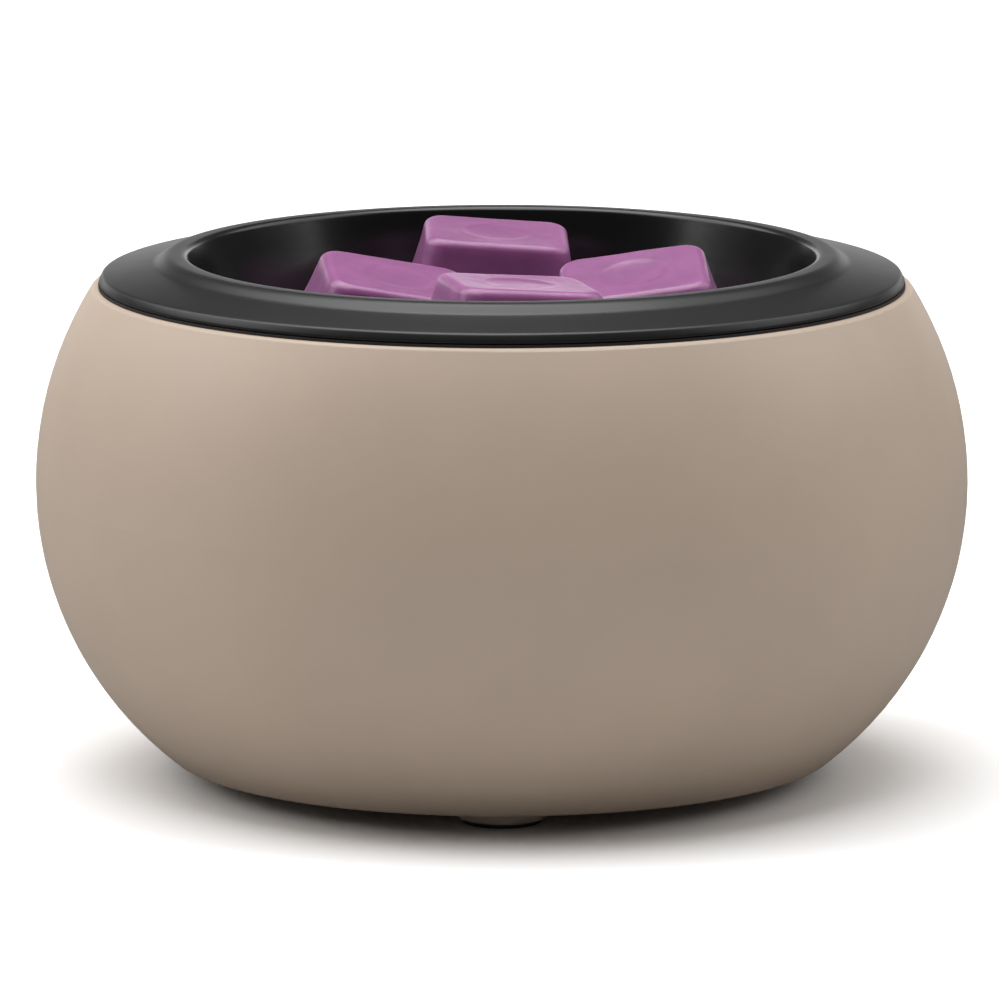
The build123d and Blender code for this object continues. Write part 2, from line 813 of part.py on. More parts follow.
def make_wax_melt(x_share, y_share, turn, nod, lean):
    """A melt, lowered until it lies the clearance above the dish."""
    base = RectangleRounded(melt_length, melt_width, melt_corner)
    top = Pos(0, 0, melt_height) * RectangleRounded(melt_top_length, melt_top_width, melt_top_corner)
    melt = loft(Sketch() + [base, top], ruled=True)
    rim = melt.faces().sort_by(Axis.Z)[-1].edges()
    melt = fillet(rim, melt_edge_round)
    dimple_ball = (melt_dimple_radius**2 + melt_dimple_depth**2) / (2 * melt_dimple_depth)
    ball_height = melt_height - melt_dimple_depth + dimple_ball
    melt -= Pos(0, 0, ball_height) * Sphere(dimple_ball)
    attitude = melt_turn(turn, nod, lean)
    mouth = lip_centre[0] - lip_wire_radius
    x, y = x_share * mouth, y_share * mouth
    lift = -math.inf
    outlines = melt_outline(melt_length, melt_width, melt_corner, 0)
    outlines += melt_outline(melt_top_length, melt_top_width, melt_top_corner, melt_height)
    for point in outlines:
        at = (attitude * Pos(*point)).position
        under = bowl_height(math.hypot(at.X + x, at.Y + y))
        lift = max(lift, under - at.Z)
    return Pos(x, y, lift + melt_clearance) * attitude * melt


def make_rear_bezel():
    """The recessed panel with its collar, the lip that follows the bowl and the board's pillars."""
    outer_end = belly_radius + cut_overrun
    collar = rounded_bar(panel_width, panel_height, panel_corner, panel_back, outer_end)
    lip = rounded_bar(
        panel_width + 2 * (seal_thickness + bezel_lip_width),
        panel_height + 2 * (seal_thickness + bezel_lip_width),
        panel_corner + seal_thickness + bezel_lip_width,
        panel_back,
        outer_end,
    )
    lip -= skin_solid(bezel_skin_gap)
    bezel = (collar + lip) & skin_solid(bezel_proud)
    bezel -= rounded_bar(
        panel_width - 2 * collar_wall,
        panel_height - 2 * collar_wall,
        panel_corner - collar_wall,
        panel_face,
        outer_end,
    )
    for side in (-1, 1):
        x = side * pillar_place
        bezel += level_bar(pillar_radius, board_back, panel_back, x, module_height)
        hole = m2_shank + thread_clearance
        hole_end = panel_back - small_screw_bite
        bezel -= level_bar(hole, board_back, hole_end, x, module_height)
    holes = {
        jack_place: jack_nose_radius + jack_nose_gap,
        led_place: pipe_radius + pipe_gap,
        button_place: button_radius + button_gap,
    }
    for x, radius in holes.items():
        bezel -= level_bar(radius, panel_back, panel_face, x, module_height)
    return bezel


def make_bezel_seal():
    """A soft sleeve between the collar and the window's edge."""
    start = panel_back + panel_thickness / 2
    outer = rounded_bar(
        panel_width + 2 * (seal_thickness - seal_gap),
        panel_height + 2 * (seal_thickness - seal_gap),
        panel_corner + seal_thickness - seal_gap,
        start,
        belly_radius,
    )
    inner = rounded_bar(
        panel_width + 2 * seal_gap,
        panel_height + 2 * seal_gap,
        panel_corner + seal_gap,
        start,
        belly_radius,
    )
    return (outer - inner) & skin_solid(0)


def make_control_board():
    """The circuit board across the pillars."""
    board = rounded_bar(board_width, board_height, board_corner, board_front, board_back)
    for side in (-1, 1):
        hole = m2_shank + hole_clearance
        board -= level_bar(hole, board_front, board_back, side * pillar_place, module_height)
    return board


def make_board_screws():
    """Two screws through the board into the pillars."""
    length = board_thickness + board_gap - 2 * small_screw_bite
    to_back = screw(m2_shank, m2_head, m2_head_height, length)
    places = [(side * pillar_place, board_front, module_height) for side in (-1, 1)]
    return [facing_back(*place).location * to_back for place in places]


def make_dc_jack():
    """The power inlet: a square body on the board and a round nose in the panel."""
    body = facing_back(jack_place, board_back, module_height) * extrude(
        Rectangle(jack_body, jack_body), panel_back - board_back
    )
    body += level_bar(jack_nose_radius, panel_back, panel_face, jack_place, module_height)
    depth = panel_face - jack_bore_depth
    return body - level_bar(jack_bore_radius, depth, panel_face, jack_place, module_height)


def make_jack_pin():
    """The inlet's centre pin, on the bottom of its bore and rounded at its tip."""
    start = panel_face - jack_bore_depth
    end = panel_face - jack_pin_setback
    pin = level_bar(jack_pin_radius, start, end, jack_place, module_height)
    return fillet(pin.edges().sort_by(Axis.Y)[-1], jack_pin_radius / 2)


def make_indicator_led():
    """A domed lamp on the board."""
    end = board_back + led_length - led_radius
    lamp = level_bar(led_radius, board_back, end, led_place, module_height)
    lamp += level_bar(led_flange, board_back, board_back + led_flange_height, led_place, module_height)
    return lamp + Pos(led_place, end, module_height) * Sphere(led_radius)


def make_light_pipe():
    """A clear rod from the lamp to the panel's face, with a stop flange behind the panel."""
    start = board_back + led_length + hole_clearance
    pipe = level_bar(pipe_radius, start, panel_face, led_place, module_height)
    flange_start = panel_back - pipe_flange_height
    return pipe + level_bar(pipe_flange, flange_start, panel_back, led_place, module_height)


def make_power_switch():
    """The push switch's body, bored for its plunger."""
    body = facing_back(button_place, board_back, module_height) * extrude(
        Rectangle(switch_body, switch_body), switch_height
    )
    top = board_back + switch_height
    bore = plunger_radius + plunger_gap
    return body - level_bar(bore, top - switch_bore_depth, top, button_place, module_height)


def make_switch_plunger():
    """The plunger between the switch and the button's flange."""
    tip = board_back + switch_height - switch_bore_depth + button_travel + hole_clearance
    flange_back = panel_back - button_flange_height
    return level_bar(plunger_radius, tip, flange_back, button_place, module_height)


def make_power_button():
    """The round cap with a shallow finger dish and a flange that stops it behind the panel."""
    end = panel_face + button_proud
    cap = level_bar(button_radius, panel_back, end, button_place, module_height)
    cap = fillet(cap.edges().sort_by(Axis.Y)[-1], button_edge_round)
    flange_back = panel_back - button_flange_height
    cap += level_bar(button_flange, flange_back, panel_back, button_place, module_height)
    reach = button_radius - 2 * button_edge_round
    ball = (reach**2 + button_dish_depth**2) / (2 * button_dish_depth)
    return cap - Pos(button_place, end - button_dish_depth + ball, module_height) * Sphere(ball)


def on_board(size, place):
    """A block on the board's inner face, by its middle as seen from inside."""
    width, depth, height = size
    x, z = place
    return block(size, x, board_front - depth / 2, module_height + z - height / 2)


def make_capacitor():
    """A can standing on the board's inner face."""
    x, z = capacitor_place
    near = board_front - capacitor_length
    return level_bar(capacitor_radius, near, board_front, x, module_height + z)


def make_board_connector():
    """The header that the four wires drop into."""
    place = (0, connector_top - connector_size[2] / 2 - module_height)
    return on_board(connector_size, place)


def all_parts():
    """Every node's name with its solid or group of solids."""
    places = screw_hole_places()
    nodes = {
        "body_shell": make_body_shell(),
        "base_cover": make_base_cover(),
        "base_screws": make_base_screws(),
        "chassis_plate": make_chassis_plate(),
        "heat_shield": make_heat_shield(),
        "heat_plate": make_heat_plate(),
        "plate_screws": make_plate_screws(),
        "thermal_pad": make_thermal_pad(),
        "ptc_heater": make_ptc_heater(),
        "heater_clamp": make_heater_clamp(),
        "clamp_screws": small_screws(places["clamp"], plate_under - clamp_thickness),
        "thermal_fuse": make_thermal_fuse(),
        "fuse_sleeve": make_fuse_sleeve(),
        "fuse_clip": make_fuse_clip(),
        "fuse_screw": small_screws(places["fuse"], plate_under - clip_thickness),
        "thermistor": make_thermistor(),
        "thermistor_screw": small_screws(places["sensor"], plate_under - sensor_ring_thickness),
        "supply_wire": make_supply_wire(),
        "link_wire": make_link_wire(),
        "return_wire": make_return_wire(),
        "sensor_lead": make_sensor_lead(),
        "rim_gasket": make_rim_gasket(),
        "wax_dish": make_wax_dish(),
        "rear_bezel": make_rear_bezel(),
        "bezel_seal": make_bezel_seal(),
        "control_board": make_control_board(),
        "board_screws": make_board_screws(),
        "dc_jack": make_dc_jack(),
        "jack_pin": make_jack_pin(),
        "indicator_led": make_indicator_led(),
        "light_pipe": make_light_pipe(),
        "power_switch": make_power_switch(),
        "switch_plunger": make_switch_plunger(),
        "power_button": make_power_button(),
        "timer_chip": on_board(chip_size, chip_place),
        "power_transistor": on_board(transistor_size, transistor_place),
        "capacitor": make_capacitor(),
        "board_connector": make_board_connector(),
    }
    sides = ("front", "right", "left")
    for side, place in zip(sides, around(foot_count, foot_circle_radius)):
        nodes["foot_pad_" + side] = make_foot_pad(*place)
    for side, place in zip(sides, around(post_count, post_circle_radius)):
        nodes["lower_post_" + side] = make_lower_post(*place)
        nodes["upper_post_" + side] = make_upper_post(*place)
    for side, placing in melt_place_shares.items():
        nodes["wax_melt_" + side] = make_wax_melt(*placing)
    return nodes


def main():
    os.makedirs("parts", exist_ok=True)
    for name, shape in all_parts().items():
        solids = shape if isinstance(shape, list) else [shape]
        node = Compound(label=name, children=[solid for group in solids for solid in group.solids()])
        export_step(node, os.path.join("parts", name + ".step"))


main()
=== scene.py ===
import json
import math

import bmesh
import bpy
from bpy.props import FloatProperty, FloatVectorProperty, PointerProperty
from mathutils import Matrix, Vector, noise


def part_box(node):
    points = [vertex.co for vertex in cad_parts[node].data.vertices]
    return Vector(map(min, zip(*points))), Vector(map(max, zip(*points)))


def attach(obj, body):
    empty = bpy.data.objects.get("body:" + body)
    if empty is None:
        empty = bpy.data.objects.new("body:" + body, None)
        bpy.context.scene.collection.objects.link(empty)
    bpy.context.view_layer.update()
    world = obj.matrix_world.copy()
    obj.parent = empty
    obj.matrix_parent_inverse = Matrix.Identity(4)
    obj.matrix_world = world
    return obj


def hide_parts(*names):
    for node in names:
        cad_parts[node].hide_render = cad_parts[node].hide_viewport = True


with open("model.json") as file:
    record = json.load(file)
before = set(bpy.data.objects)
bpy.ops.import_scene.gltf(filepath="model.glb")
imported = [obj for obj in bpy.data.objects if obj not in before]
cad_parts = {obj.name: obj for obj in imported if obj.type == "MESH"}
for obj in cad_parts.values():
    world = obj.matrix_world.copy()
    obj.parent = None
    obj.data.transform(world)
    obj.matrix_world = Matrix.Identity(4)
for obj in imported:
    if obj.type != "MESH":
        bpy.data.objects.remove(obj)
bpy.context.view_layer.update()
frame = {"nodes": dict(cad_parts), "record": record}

bl_info = {
    "name": "Wax melt warmer",
    "version": (1, 0, 0),
    "blender": (4, 5, 0),
    "location": "3D View > Sidebar > Warmer",
    "description": "Finishes and small pieces of an electric wax melt warmer with a lift-out dish",
    "category": "Object",
}

# The nodes that each operator finishes
SLOT_OF = {part["node"]: part["material_slot"] for part in frame["record"]["subparts"]}
MELTS = sorted(name for name in frame["nodes"] if name.startswith("wax_melt_"))
UNDERSIDE = ("base_cover", "base_screws", "foot_pad_front", "foot_pad_left", "foot_pad_right")
BACK = ("rear_bezel", "bezel_seal", "dc_jack", "jack_pin", "indicator_led", "light_pipe", "power_switch",
        "switch_plunger", "power_button")
BOARD = ("control_board", "board_connector", "board_screws", "capacitor", "power_transistor", "timer_chip")
GROUPED = {"body_shell", "wax_dish", "rim_gasket", *MELTS, *UNDERSIDE, *BACK, *BOARD}
HEATER = tuple(sorted(set(SLOT_OF) - GROUPED))
QUARTER = math.pi / 2


def colour(name, description, default):
    """A colour setting."""
    return FloatVectorProperty(name=name, description=description, default=default, subtype="COLOR",
                               size=3, min=0.0, max=1.0)


def length(name, description, default):
    """A length setting, in metres."""
    return FloatProperty(name=name, description=description, default=default, unit="LENGTH",
                         subtype="DISTANCE", min=0.0, precision=5)


def angle(name, description, degrees):
    """An angle setting, given in degrees and kept in radians."""
    return FloatProperty(name=name, description=description, default=math.radians(degrees), unit="ROTATION",
                         subtype="ANGLE", min=0.0, max=QUARTER)


def share(name, description, default):
    """A share setting, from none to all."""
    return FloatProperty(name=name, description=description, default=default, subtype="FACTOR",
                         min=0.0, max=1.0)


def light(name, description, default):
    """The setting of a light's brightness."""
    return FloatProperty(name=name, description=description, default=default, min=0.0, max=20.0)


def group_of(kind, name):
    """One group of settings among the warmer's."""
    return PointerProperty(type=kind, name=name, description=kind.__doc__)


class WarmerBowlSettings(bpy.types.PropertyGroup):
    """The bowl's glaze."""
    taupe: colour("Taupe", "Colour of the matte glaze", (0.432, 0.342, 0.268))
    roughness: share("Roughness", "How matte the glaze is", 0.5)
    mottle: share("Mottle", "How far the glaze's brightness drifts", 0.035)
    grain: length("Grain", "Width of the glaze's finest ripples", 0.0011)
    relief: length("Relief", "Height of those ripples", 0.000012)


class WarmerDishSettings(bpy.types.PropertyGroup):
    """The dish's coating."""
    black: colour("Black", "Colour of the satin coating", (0.004, 0.004, 0.0043))
    roughness: share("Roughness", "How satin the coating is", 0.38)
    well_roughness: share("Well roughness", "How glossy the coating is inside the well", 0.22)
    ring: length("Ring", "Size of the turning rings under the coating", 0.0006)
    ring_share: share("Ring share", "How deep the turning rings are against the grain", 0.6)
    well_radius: length("Well radius", "Where the well's glossier coating ends", 0.0462)
    well_fade: length("Well fade", "How far the two coatings blend at the well's edge", 0.001386)
    # Painted shade: the share to which the well's black is darkened against the flange's
    well_black: share("Well black", "How bright the well's black is against the flange's", 0.3)
    grain: length("Grain", "Width of the coating's ripples", 0.0016)
    relief: length("Relief", "Height of those ripples", 0.00001)


class WarmerSectionSettings(bpy.types.PropertyGroup):
    """The dish's section."""
    depth: length("Depth", "From the lip's top down to the well's floor", 0.0192)
    wall: length("Wall", "Thickness of the floor and the wall", 0.0018)
    corner: length("Corner", "Radius between the floor and the wall", 0.010)
    lean: angle("Lean", "How far the wall leans outwards", 15.0)
    roll: length("Roll", "Radius of the lip's inner edge", 0.0009)
    roll_place: length("Roll place", "Radius at which the lip's inner edge is highest", 0.04586)
    crest: length("Crest", "Width of the lip's level top", 0.00134)
    round: length("Round", "Radius of the lip's outer edge", 0.0024)
    fall: angle("Fall", "Slope of the lip's outside", 38.0)
    fall_run: length("Fall run", "Width of that slope", 0.0007)
    sweep: length("Sweep", "Radius where the slope turns into the flange", 0.002)
    flange_fall: angle("Flange fall", "Slope of the flange where it starts", 10.0)
    rise: length("Rise", "From the flange's underside up to the lip's top", 0.0043)
    edge_height: length("Edge height", "Height of the flange's edge", 0.0015)
    edge_setback: length("Edge setback", "How far the edge's top lies inside its foot", 0.0007)
    edge_round: length("Edge round", "Radius along the edge's top", 0.0006)
    foot_round: length("Foot round", "Radius along the edge's foot", 0.0004)


class WarmerMeltSettings(bpy.types.PropertyGroup):
    """The wax melts."""
    lilac: colour("Lilac", "Colour of the wax", (0.262, 0.093, 0.227))
    top_length: length("Top length", "Length of the top face, corners included", 0.0206)
    top_width: length("Top width", "Width of the top face, corners included", 0.0174)
    corner: length("Corner", "Radius of the base's corners", 0.0036)
    top_corner: length("Top corner", "Radius of the top's corners", 0.0030)
    edge: length("Edge", "Radius of the upper edges", 0.0011)
    foot: length("Foot", "Radius of the lower edges", 0.0007)
    dimple: length("Dimple", "Radius of the round press mark on top", 0.0050)
    dimple_depth: length("Dimple depth", "How deep the press mark is", 0.00014)
    dimple_rim: length("Dimple rim", "How far the wax rose round the press mark", 0.00005)
    sag: length("Sag", "How far the wax shrank in the middle of each face", 0.00022)
    unevenness: length("Unevenness", "Height of the casting's waves", 0.00006)
    wave: length("Wave", "Width of those waves", 0.006)
    ripple: length("Ripple", "Width of the finer waves on them", 0.0025)


class WarmerBackSettings(bpy.types.PropertyGroup):
    """The printed mark on the button and the spring in the power socket."""
    mark: length("Mark", "Radius of the power mark's ring", 0.0016)
    mark_line: length("Mark line", "Width of the power mark's lines", 0.00034)
    mark_gap: angle("Mark gap", "Half of the ring's opening at the top", 38.0)
    mark_proud: length("Mark proud", "How far the print stands off the button", 0.00003)
    spring_width: length("Spring width", "Width of the socket's side contact", 0.0016)
    spring_bulge: length("Spring bulge", "How far the contact bends into the socket", 0.0006)
    spring_thickness: length("Spring thickness", "Thickness of the contact", 0.00016)


class WarmerBoardSettings(bpy.types.PropertyGroup):
    """The small parts soldered to the control board."""
    leg_pitch: length("Leg pitch", "From one chip leg to the next", 0.00127)
    leg_reach: length("Leg reach", "How far a leg stands out from the chip", 0.0011)
    leg_width: length("Leg width", "Width of a chip leg", 0.0004)
    leg_thickness: length("Leg thickness", "Thickness of a chip leg", 0.00015)
    resistor: FloatVectorProperty(name="Resistor", description="Length, thickness and width of a resistor",
                                  default=(0.002, 0.0005, 0.00125), size=3, unit="LENGTH", precision=5)
    joint: length("Joint", "Radius of a solder joint", 0.0006)
    joint_height: length("Joint height", "Height of a solder joint", 0.0008)


class WarmerStudioSettings(bpy.types.PropertyGroup):
    """The floor, the lights and the camera."""
    floor: colour("Floor", "Colour of the floor to the camera", (0.95, 0.95, 0.95))
    bounce: colour("Bounce", "Colour that the floor throws back", (0.72, 0.72, 0.72))
    mirrored: colour("Mirrored", "Colour of the floor in glossy surfaces", (0.16, 0.16, 0.16))
    aim_height: length("Aim", "Height that the camera looks at", 0.0391)
    aim_side: length("Aim side", "How far left of the middle the camera looks", 0.00026)
    distance: length("Distance", "From the camera to the middle", 1.35)
    elevation: angle("Elevation", "The camera's height over the horizon", 10.05)
    lens: FloatProperty(name="Lens", description="The camera's focal length", default=337.5, unit="CAMERA",
                        min=1.0)
    top: light("Top light", "Brightness of the overhead soft box", 4.45)
    left: light("Left light", "Brightness of the left soft box", 2.7)
    right: light("Right light", "Brightness of the right soft box", 1.85)
    back: light("Back light", "Brightness of the low soft box behind", 1.45)
    ambient: light("Ambient", "Brightness of the air all round", 0.10)


class WarmerSettings(bpy.types.PropertyGroup):
    """All of the warmer's settings."""
    bowl: group_of(WarmerBowlSettings, "Bowl")
    dish: group_of(WarmerDishSettings, "Dish coating")
    section: group_of(WarmerSectionSettings, "Dish section")
    melts: group_of(WarmerMeltSettings, "Wax melts")
    back: group_of(WarmerBackSettings, "Back panel")
    board: group_of(WarmerBoardSettings, "Control board")
    studio: group_of(WarmerStudioSettings, "Studio")


def add(tree, kind, inputs=None, **settings):
    """A node, its inputs given as values or as another node's output."""
    node = tree.nodes.new(kind)
    for name, value in settings.items():
        setattr(node, name, value)
    for name, value in (inputs or {}).items():
        if isinstance(value, bpy.types.NodeSocket):
            tree.links.new(value, node.inputs[name])
        else:
            node.inputs[name].default_value = value
    return node


def maths(tree, operation, *values):
    """The output of a maths node."""
    return add(tree, "ShaderNodeMath", dict(enumerate(values)), operation=operation).outputs[0]


def spread(tree, value, low, high, new_low, new_high):
    """A value mapped from one range to another, and kept inside it."""
    inputs = {"Value": value, "From Min": low, "From Max": high, "To Min": new_low, "To Max": new_high}
    return add(tree, "ShaderNodeMapRange", inputs).outputs["Result"]


def object_place(tree):
    """The place on the piece, in metres, which moves with it."""
    return add(tree, "ShaderNodeTexCoord").outputs["Object"]


def noise_at(tree, place, size, detail=2.0):
    """Soft noise whose features are about a size wide."""
    scale = maths(tree, "DIVIDE", 1.0, size)
    inputs = {"Vector": place, "Scale": scale, "Detail": detail, "Roughness": 0.55}
    return add(tree, "ShaderNodeTexNoise", inputs).outputs["Fac"]


def round_upright(tree):
    """How far a place on the piece lies from the upright, and how high."""
    axes = add(tree, "ShaderNodeSeparateXYZ", {"Vector": object_place(tree)}).outputs
    flat = add(tree, "ShaderNodeCombineXYZ", {"X": axes["X"], "Y": axes["Y"]}).outputs["Vector"]
    radius = add(tree, "ShaderNodeVectorMath", {0: flat}, operation="LENGTH").outputs["Value"]
    return radius, axes["Z"]


def tinted(tree, base, factor):
    """A colour made lighter or darker by a factor."""
    inputs = {0: base, "Scale": factor}
    return add(tree, "ShaderNodeVectorMath", inputs, operation="SCALE").outputs["Vector"]


def new_group(name, inputs, outputs):
    """An empty node group with named sockets, given as (name, kind, default)."""
    group = bpy.data.node_groups.new(name, "ShaderNodeTree")
    for label, kind, default in inputs:
        socket = group.interface.new_socket(name=label, in_out="INPUT", socket_type="NodeSocket" + kind)
        socket.default_value = default
    for label, kind in outputs:
        group.interface.new_socket(name=label, in_out="OUTPUT", socket_type="NodeSocket" + kind)
    return group, add(group, "NodeGroupInput").outputs, add(group, "NodeGroupOutput").inputs


# Noise lies mostly between the first two, and its middle changes nothing
NOISE_LOW, NOISE_HIGH, NOISE_MIDDLE = 0.3, 0.7, 0.5
# The gloss drifts on a finer scale than the colour, by this share
GLOSS_SIZE_SHARE = 0.37
# The share of the cells that have no pit
PITLESS_SHARE = 0.6
# How fast the lathe's rings change up a wall, as a share of how fast they change across a face
RING_CLIMB_SHARE = 0.3
# How a scratch is drawn out along X
SCRATCH_STRETCH = (0.04, 1.0, 1.0)
# A track's straight run in pitches, the heights that it steps to, and where its soft edge lies in a pitch
TRACK_RUN, TRACK_STEPS, TRACK_STEP_SHARE = 5.0, 3.0, 0.5
TRACK_EDGE_SHARES = (0.16, 0.20)


def drift_gloss(group, given, out, pattern):
    """Lets a group's roughness rise and fall with a pattern."""
    swing = maths(group, "MULTIPLY", maths(group, "SUBTRACT", pattern, NOISE_MIDDLE), given["Gloss Drift"])
    group.links.new(maths(group, "ADD", given["Roughness"], swing), out["Roughness"])


def surface_grain_group():
    """A soft drift of brightness and gloss, with fine ripples for height."""
    group, given, out = new_group(
        "Surface grain",
        [("Colour", "Color", (0.5, 0.5, 0.5, 1.0)), ("Mottle", "Float", 0.05), ("Mottle Size", "Float", 0.02),
         ("Grain Size", "Float", 0.001), ("Roughness", "Float", 0.5), ("Gloss Drift", "Float", 0.1)],
        [("Colour", "Color"), ("Roughness", "Float"), ("Height", "Float")])
    place = object_place(group)
    drift = noise_at(group, place, given["Mottle Size"], detail=3.0)
    shade = spread(group, drift, NOISE_LOW, NOISE_HIGH, maths(group, "SUBTRACT", 1.0, given["Mottle"]),
                   maths(group, "ADD", 1.0, given["Mottle"]))
    group.links.new(tinted(group, given["Colour"], shade), out["Colour"])
    gloss_size = maths(group, "MULTIPLY", given["Mottle Size"], GLOSS_SIZE_SHARE)
    drift_gloss(group, given, out, noise_at(group, place, gloss_size))
    group.links.new(noise_at(group, place, given["Grain Size"], detail=3.0), out["Height"])
    return group


def pits_group():
    """A height that drops in small scattered pits."""
    group, given, out = new_group(
        "Pits", [("Spacing", "Float", 0.002), ("Pit Share", "Float", 0.2)], [("Height", "Float")])
    scale = maths(group, "DIVIDE", 1.0, given["Spacing"])
    inputs = {"Vector": object_place(group), "Scale": scale, "Randomness": 1.0}
    cells = add(group, "ShaderNodeTexVoronoi", inputs).outputs
    near = spread(group, cells["Distance"], 0.0, given["Pit Share"], 0.0, 1.0)
    chosen = add(group, "ShaderNodeSeparateColor", {"Color": cells["Color"]}).outputs["Red"]
    pitted = maths(group, "GREATER_THAN", chosen, PITLESS_SHARE)
    depth = maths(group, "MULTIPLY", maths(group, "SUBTRACT", 1.0, near), pitted)
    group.links.new(maths(group, "SUBTRACT", 1.0, depth), out["Height"])
    return group


def turned_metal_group():
    """Fine rings about the upright, as a lathe tool leaves them."""
    group, given, out = new_group(
        "Turned metal",
        [("Ring Size", "Float", 0.0003), ("Roughness", "Float", 0.3), ("Gloss Drift", "Float", 0.1)],
        [("Roughness", "Float"), ("Height", "Float")])
    radius, height = round_upright(group)
    climb = maths(group, "MULTIPLY", height, RING_CLIMB_SHARE)
    along = add(group, "ShaderNodeCombineXYZ", {"X": radius, "Z": climb}).outputs["Vector"]
    rings = noise_at(group, along, given["Ring Size"])
    group.links.new(rings, out["Height"])
    drift_gloss(group, given, out, rings)
    return group


def brushed_group():
    """Long fine scratches along X."""
    group, given, out = new_group(
        "Brushed",
        [("Scratch Width", "Float", 0.0002), ("Roughness", "Float", 0.35), ("Gloss Drift", "Float", 0.2)],
        [("Roughness", "Float"), ("Height", "Float")])
    stretched = add(group, "ShaderNodeMapping", {"Vector": object_place(group), "Scale": SCRATCH_STRETCH})
    lines = noise_at(group, stretched.outputs["Vector"], given["Scratch Width"])
    group.links.new(lines, out["Height"])
    drift_gloss(group, given, out, lines)
    return group


def copper_tracks_group():
    """Tracks under a board's lacquer: straight runs that step sideways, as a mask."""
    group, given, out = new_group("Copper tracks", [("Pitch", "Float", 0.0012)], [("Mask", "Float")])
    axes = add(group, "ShaderNodeSeparateXYZ", {"Vector": object_place(group)}).outputs
    cell = maths(group, "MULTIPLY", given["Pitch"], TRACK_RUN)
    column = maths(group, "FLOOR", maths(group, "DIVIDE", axes["X"], cell))
    chance = add(group, "ShaderNodeTexWhiteNoise", {"W": column}, noise_dimensions="1D").outputs["Value"]
    step = maths(group, "ROUND", maths(group, "MULTIPLY", chance, TRACK_STEPS))
    lift = maths(group, "MULTIPLY", step, TRACK_STEP_SHARE)
    rows = maths(group, "ADD", maths(group, "DIVIDE", axes["Z"], given["Pitch"]), lift)
    wave = maths(group, "ABSOLUTE", maths(group, "SUBTRACT", maths(group, "FRACT", rows), 0.5))
    group.links.new(spread(group, wave, *TRACK_EDGE_SHARES, 1.0, 0.0), out["Mask"])
    return group


GROUP_MAKERS = {
    "Copper tracks": copper_tracks_group,
    "Surface grain": surface_grain_group,
    "Pits": pits_group,
    "Turned metal": turned_metal_group,
    "Brushed": brushed_group,
}


def group_node(tree, name, inputs):
    """A shared effect's node, with this material's own values."""
    group = bpy.data.node_groups.get(name) or GROUP_MAKERS[name]()
    return add(tree, "ShaderNodeGroup", inputs, node_tree=group)


def new_material(name, **shader_values):
    """A material, its tree and its shader, with constants on the shader's own sockets."""
    made = bpy.data.materials.new(name)
    made.use_nodes = True
    tree = made.node_tree
    shader = tree.nodes["Principled BSDF"]
    for label, value in shader_values.items():
        shader.inputs[label.replace("_", " ")].default_value = value
    return made, tree, shader


def rgba(three):
    """A colour with full opacity."""
    return (*three, 1.0)


def join(tree, shader, **outputs):
    """Joins outputs to the shader's sockets of those names."""
    for label, output in outputs.items():
        tree.links.new(output, shader.inputs[label.replace("_", " ")])


def bump(tree, shader, height, distance):
    """Joins a height to the shader's normal."""
    node = add(tree, "ShaderNodeBump", {"Height": height, "Distance": distance, "Strength": 1.0})
    join(tree, shader, Normal=node.outputs["Normal"])


def surface_grain(tree, base, roughness, mottle, mottle_size, grain, drift):
    """The surface grain's outputs, with this material's own values."""
    given = {"Colour": rgba(base), "Roughness": roughness, "Mottle": mottle, "Mottle Size": mottle_size,
             "Grain Size": grain, "Gloss Drift": drift}
    return group_node(tree, "Surface grain", given).outputs


def grained(name, base, roughness, mottle=0.06, mottle_size=0.008, grain=0.0006, relief=0.00002,
            drift=0.12, **shader_values):
    """A finish with a drifting colour and gloss and a fine grain."""
    made, tree, shader = new_material(name, **shader_values)
    effect = surface_grain(tree, base, roughness, mottle, mottle_size, grain, drift)
    join(tree, shader, Base_Color=effect["Colour"], Roughness=effect["Roughness"])
    bump(tree, shader, effect["Height"], relief)
    return made


def metal(name, base, effect_name, size_label, size, roughness, relief=0.000008, drift=0.15):
    """A bare or plated metal with rings or scratches."""
    made, tree, shader = new_material(name, Base_Color=rgba(base), Metallic=1.0)
    given = {size_label: size, "Roughness": roughness, "Gloss Drift": drift}
    effect = group_node(tree, effect_name, given).outputs
    join(tree, shader, Roughness=effect["Roughness"])
    bump(tree, shader, effect["Height"], relief)
    return made


def ceramic_finish(name, pit_depth_share=0.8):
    """The bowl's matte taupe glaze: fine ripples and a few pin pits."""
    bowl = bpy.context.scene.warmer.bowl
    made, tree, shader = new_material(name, Specular_IOR_Level=0.45)
    effect = surface_grain(tree, bowl.taupe, bowl.roughness, bowl.mottle, mottle_size=0.03, grain=bowl.grain,
                           drift=0.08)
    join(tree, shader, Base_Color=effect["Colour"], Roughness=effect["Roughness"])
    pits = group_node(tree, "Pits", {"Spacing": 0.0024, "Pit Share": 0.16}).outputs
    height = maths(tree, "ADD", effect["Height"], maths(tree, "MULTIPLY", pits["Height"], pit_depth_share))
    bump(tree, shader, height, bowl.relief)
    return made


